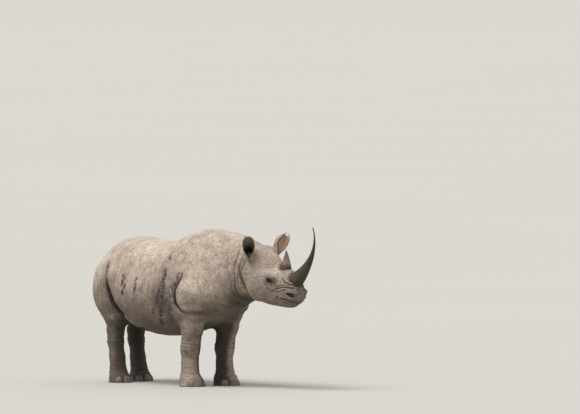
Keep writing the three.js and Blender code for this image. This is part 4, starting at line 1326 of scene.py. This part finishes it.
# Hairs as thin tapered rods: paths is hairs x steps x 3, thick the radius at each root.
def makeHairs(name, paths, thick, sides=3):
    paths, thick = np.asarray(paths), np.asarray(thick)
    count, steps = paths.shape[:2]
    along = unit(np.gradient(paths, axis=1))
    first = unit(np.cross(along, (0.31, 0.52, 0.79)))
    second = np.cross(along, first)
    narrow = np.linspace(1, 0.12, steps) ** 0.8
    angle = 2 * np.pi * np.arange(sides) / sides
    ring = (first[:, :, None] * np.cos(angle)[:, None] + second[:, :, None] * np.sin(angle)[:, None])
    points = paths[:, :, None] + ring * (thick[:, None, None, None] * narrow[:, None, None])
    base = np.arange(count * steps * sides).reshape(count, steps, sides)
    nextSide = np.roll(base, -1, axis=2)
    quads = np.stack([base[:, :-1], nextSide[:, :-1], nextSide[:, 1:], base[:, 1:]], axis=-1).reshape(-1, 4)
    ends = base[:, 0, ::-1].tolist() + base[:, -1].tolist()
    made = makeObject(name, points.reshape(-1, 3), quads.tolist() + ends)
    # each hair has a small patch of the skin's own unwrap, at its root
    root = skinPlaces[[nearestSkin.find(path[0])[1] for path in paths.tolist()]]
    step, turn = np.meshgrid(np.arange(steps - 1), np.arange(sides), indexing="ij")
    around = np.stack([turn, turn + 1, turn + 1, turn], axis=-1) / sides
    up = np.stack([step, step, step + 1, step + 1], axis=-1) / (steps - 1)
    patch = (np.stack([around, up], axis=-1) - 0.5) * skinMap["hair"]
    onQuads = root[:, None, None, None] + patch
    side = np.arange(sides)
    cap = np.stack([side / sides - 0.5, (side % 2) * 0.2 + 0.3], axis=1) * skinMap["hair"]
    onEnds = np.concatenate([root[:, None] + cap * (1, -1), root[:, None] + cap])
    layer = made.data.uv_layers.new(name="OFBake")
    flat = np.concatenate([onQuads.reshape(-1), onEnds.reshape(-1)])
    layer.uv.foreach_set("vector", flat.astype(np.float32))
    return made


# Hairs from their roots: each goes its own way for its length and bends by its droop.
def growHairs(name, roots, ways, lengths, droop, thick, place=np.asarray, steps=7):
    t = np.linspace(0, 1, steps)[None, :, None]
    reach = lengths[:, None, None]
    paths = roots[:, None] + unit(ways)[:, None] * reach * t + droop[:, None] * reach * t ** 2
    return makeHairs(name, place(paths.reshape(-1, 3)).reshape(paths.shape) + withers, thick)


def hairLengths(chance, hairs, share=1):
    low, high = hairs["length"]
    return low + (high - low) * chance.random(hairs["hairs"]) * share


fringe = {"hairs": 620, "length": (0.010, 0.027), "tip": 0.075, "thick": 0.00045, "seed": 4}


def makeFringe(name, side):
    chance = np.random.default_rng(fringe["seed"] + side)
    count = fringe["hairs"]
    t = np.clip(0.16 + 0.84 * chance.random(count) ** 0.75, 0, 0.992)
    edge = np.where(chance.random(count) < 0.5, -1, 1)
    reach = earReach(t) - 0.05 * chance.random(count)
    size = earSize(t)
    within = 1 - 0.07 * chance.random(count)
    roots = np.stack([-ear["deep"] * size * within * np.cos(reach),
                      edge * ear["across"] * size * within * np.sin(reach),
                      (ear["length"] + ear["sink"]) * t - ear["sink"]], axis=1)
    lean = chance.normal(0, 0.22, (count, 3))
    ways = np.stack([0.35 + 0 * t, edge * (0.75 - 0.5 * t), 0.45 + 0.6 * t], axis=1) + lean
    lengths = hairLengths(chance, fringe, 0.5 + 0.5 * t) + fringe["tip"] * np.maximum(t - 0.8, 0)
    droop = np.stack([0.1 + 0 * t, -edge * 0.3, 0.25 + 0 * t], axis=1)
    thick = fringe["thick"] * (0.7 + 0.6 * chance.random(count))
    return growHairs(name, roots, ways, lengths, droop, thick, lambda p: outOfHead(outOfEar(p, side)))


lashes = {"hairs": 34, "length": (0.012, 0.022), "thick": 0.00045, "seed": 9}


def makeLashes(name, side):
    chance = np.random.default_rng(lashes["seed"] + side)
    count = lashes["hairs"]
    angle = np.radians(np.linspace(22, 158, count) + chance.normal(0, 2, count))
    wide, high = lids["opening"]
    hx, hz = rotated(wide * 1.04 * np.cos(angle), high * 1.10 * np.sin(angle), -lids["tilt"])
    ball = eye["radius"] + lids["thick"] * 0.8
    hy = np.sqrt(ball ** 2 - hx ** 2 - hz ** 2)
    roots = np.stack([hx, hy, hz], axis=1) + eye["centre"]
    ways = np.stack([0.35 * np.cos(angle), 0.9 + 0 * angle, 0.10 + 0 * angle], axis=1)
    ways += chance.normal(0, 0.08, (count, 3))
    lengths = hairLengths(chance, lashes)
    droop = np.stack([0.15 * np.cos(angle), -0.12 + 0 * angle, -0.45 + 0 * angle], axis=1)
    return growHairs(name, roots, ways, lengths, droop, np.full(count, lashes["thick"]),
                     lambda p: outOfHead(p * (1, side, 1)))


brush = {"hairs": 420, "length": (0.05, 0.10), "thick": 0.0007, "seed": 12}


def makeTailBrush(name):
    chance = np.random.default_rng(brush["seed"])
    count = brush["hairs"]
    (ax, az), (bx, bz) = tail["path"][-2:]
    along = chance.random(count) ** 1.6 * 0.9  # 0 at the tip
    thick = tail["tip"] + 0.004 * along
    edge = np.where(chance.random(count) < 0.5, -1, 1) * (0.45 + 0.5 * chance.random(count))
    turn = chance.random(count) * 2 * np.pi
    atTip = along < 0.08
    ux = np.where(atTip, np.cos(turn) * chance.random(count), edge)
    uy = np.where(atTip, np.sin(turn) * chance.random(count), chance.normal(0, 0.35, count))
    roots = np.stack([bx + (ax - bx) * along + ux * thick * 0.8, np.clip(uy, -0.8, 0.8) * thick,
                      bz + (az - bz) * along + np.where(atTip, 0.004, 0)], axis=1)
    ways = np.stack([ux * 0.35, uy * 0.25, -1 + 0 * ux], axis=1) + chance.normal(0, 0.05, (count, 3))
    lengths = hairLengths(chance, brush) * np.where(atTip, 1.0, 0.7)
    droop = np.stack([-ux * 0.22, -uy * 0.2, 0 * ux], axis=1)
    thick = brush["thick"] * (0.7 + 0.6 * chance.random(count))
    return growHairs(name, roots, ways, lengths, droop, thick, steps=9)


def hairFinish():
    f = Finish("bristle", Specular_IOR_Level=0.4)
    shades = f.clouds(60, 3)
    f.put("Base Color", f.ramp(shades, (0.3, (26, 21, 18)), (0.7, (66, 54, 45))))
    f.put("Roughness", 0.45 + shades * 0.2)
    f.put("Normal", f.bump(f.clouds(900, 2), 0.0002, 0.3))
    return f


fringes = [makeFringe("ear_fringe_" + word, side) for side, word in bothSides.items()]
lashPieces = [makeLashes("eyelashes_" + word, side) for side, word in bothSides.items()]
tailBrush = makeTailBrush("tail_brush")
hairFinish().onto(*fringes, *lashPieces, tailBrush)
print("hair: fringes, eyelashes and the tail's brush made")

studio = {
    "floor": (158, 156, 151), "floorReach": 900, "floorGloss": 1.031,
    "zenith": 1.05, "sun": 3.5, "sunSoftness": 34, "sunFrom": (-0.14, -0.42, 0.90),
    "dome": (0.03, 0.55),  # heights on the sky between which it brightens from the horizon to the zenith
}


# The world's horizon has the brightness of the lit floor, so that the floor has no visible end.
def horizonLight():
    albedo = np.array(colourOf(studio["floor"])[:3])
    z = np.linspace(0, 1, 2000)
    share = 2 * np.mean(smoothstep(z, *studio["dome"]) * z)
    sunOnFloor = studio["sun"] * Vector(studio["sunFrom"]).normalized().z / math.pi
    light = studio["floorGloss"] * albedo * (studio["zenith"] * share + sunOnFloor)
    return light / (1 - albedo * (1 - share))


def makeStudio():
    reach = studio["floorReach"]
    angle = np.linspace(0, 2 * math.pi, 64, endpoint=False)
    rings = [[(r * math.cos(a), r * math.sin(a), 0) for a in angle] for r in (0.5, 6, 40, 200, reach)]
    points, faces = ringLoft(rings)
    floor = makeObject("studio_floor", points, [f for f in faces if len(f) == 4] + [list(range(64))], False)
    f = Finish("studio floor", Specular_IOR_Level=0.2, Roughness=0.9)
    shade = f.clouds(0.1, 2).rise(0.2, 0.8)
    f.put("Base Color", f.over(studio["floor"], tuple(c - 1 for c in studio["floor"]), shade))
    f.onto(floor)
    world = bpy.data.worlds.new("studio")
    scene.world = world
    world.use_nodes = True
    sky = Nodes(world.node_tree, "Generated")
    up = sky.part(sky.place, "Z").rise(*studio["dome"])
    sky.join(world.node_tree.nodes["Background"].inputs["Color"],
             sky.over((*horizonLight(), 1), (studio["zenith"],) * 3 + (1,), up))
    sun = bpy.data.lights.new("soft_sun", "SUN")
    sun.energy, sun.angle = studio["sun"], math.radians(studio["sunSoftness"])
    lamp = bpy.data.objects.new("soft_sun", sun)
    scene.collection.objects.link(lamp)
    lamp.rotation_euler = Vector(studio["sunFrom"]).to_track_quat("Z", "Y").to_euler()


def makeCamera(view):
    lens = bpy.data.cameras.new("camera")
    lens.lens, lens.sensor_width, lens.clip_end = view["lens"], view["sensor"], view["clipEnd"]
    camera = bpy.data.objects.new("camera", lens)
    scene.collection.objects.link(camera)
    turn, tilt = math.radians(view["azimuth"]), math.radians(view["elevation"])
    right = Vector((math.cos(turn), math.sin(turn), 0))
    back = Vector((math.sin(turn) * math.cos(tilt), -math.cos(turn) * math.cos(tilt), math.sin(tilt)))
    up = back.cross(right)
    across, height = view["aim"]
    camera.location = Vector(withers) + right * across + up * height + back * view["distance"]
    camera.rotation_euler = Matrix((right, up, back)).transposed().to_euler()
    scene.camera = camera


makeStudio()
makeCamera({"azimuth": 48, "elevation": 1.5, "aim": (0.7595, 1.710), "distance": 76.96,
            "lens": 500, "sensor": 36, "clipEnd": 1500})
scene.view_settings.view_transform = "Standard"

flesh = ["head", "neck", "trunk", *stance, "ear_left", "ear_right", "tail"]
for piece, slot, nodes in [
        (skin, "skin", flesh),
        *((piece, "horn", [name]) for name, piece in hornPieces.items()),
        *((eyes[side], "eye", ["eye_" + word]) for side, word in bothSides.items()),
        *((nailPieces[leg], "nail", [f"{leg.replace('leg', 'toenail')}_{i}" for i in (1, 2, 3)])
          for leg in stance),
        (tailBrush, "hair", ["tail_tuft"]),
        *((piece, "hair", []) for piece in (*fringes, *lashPieces))]:
    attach(piece, "root")
    if nodes:
        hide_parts(*nodes)
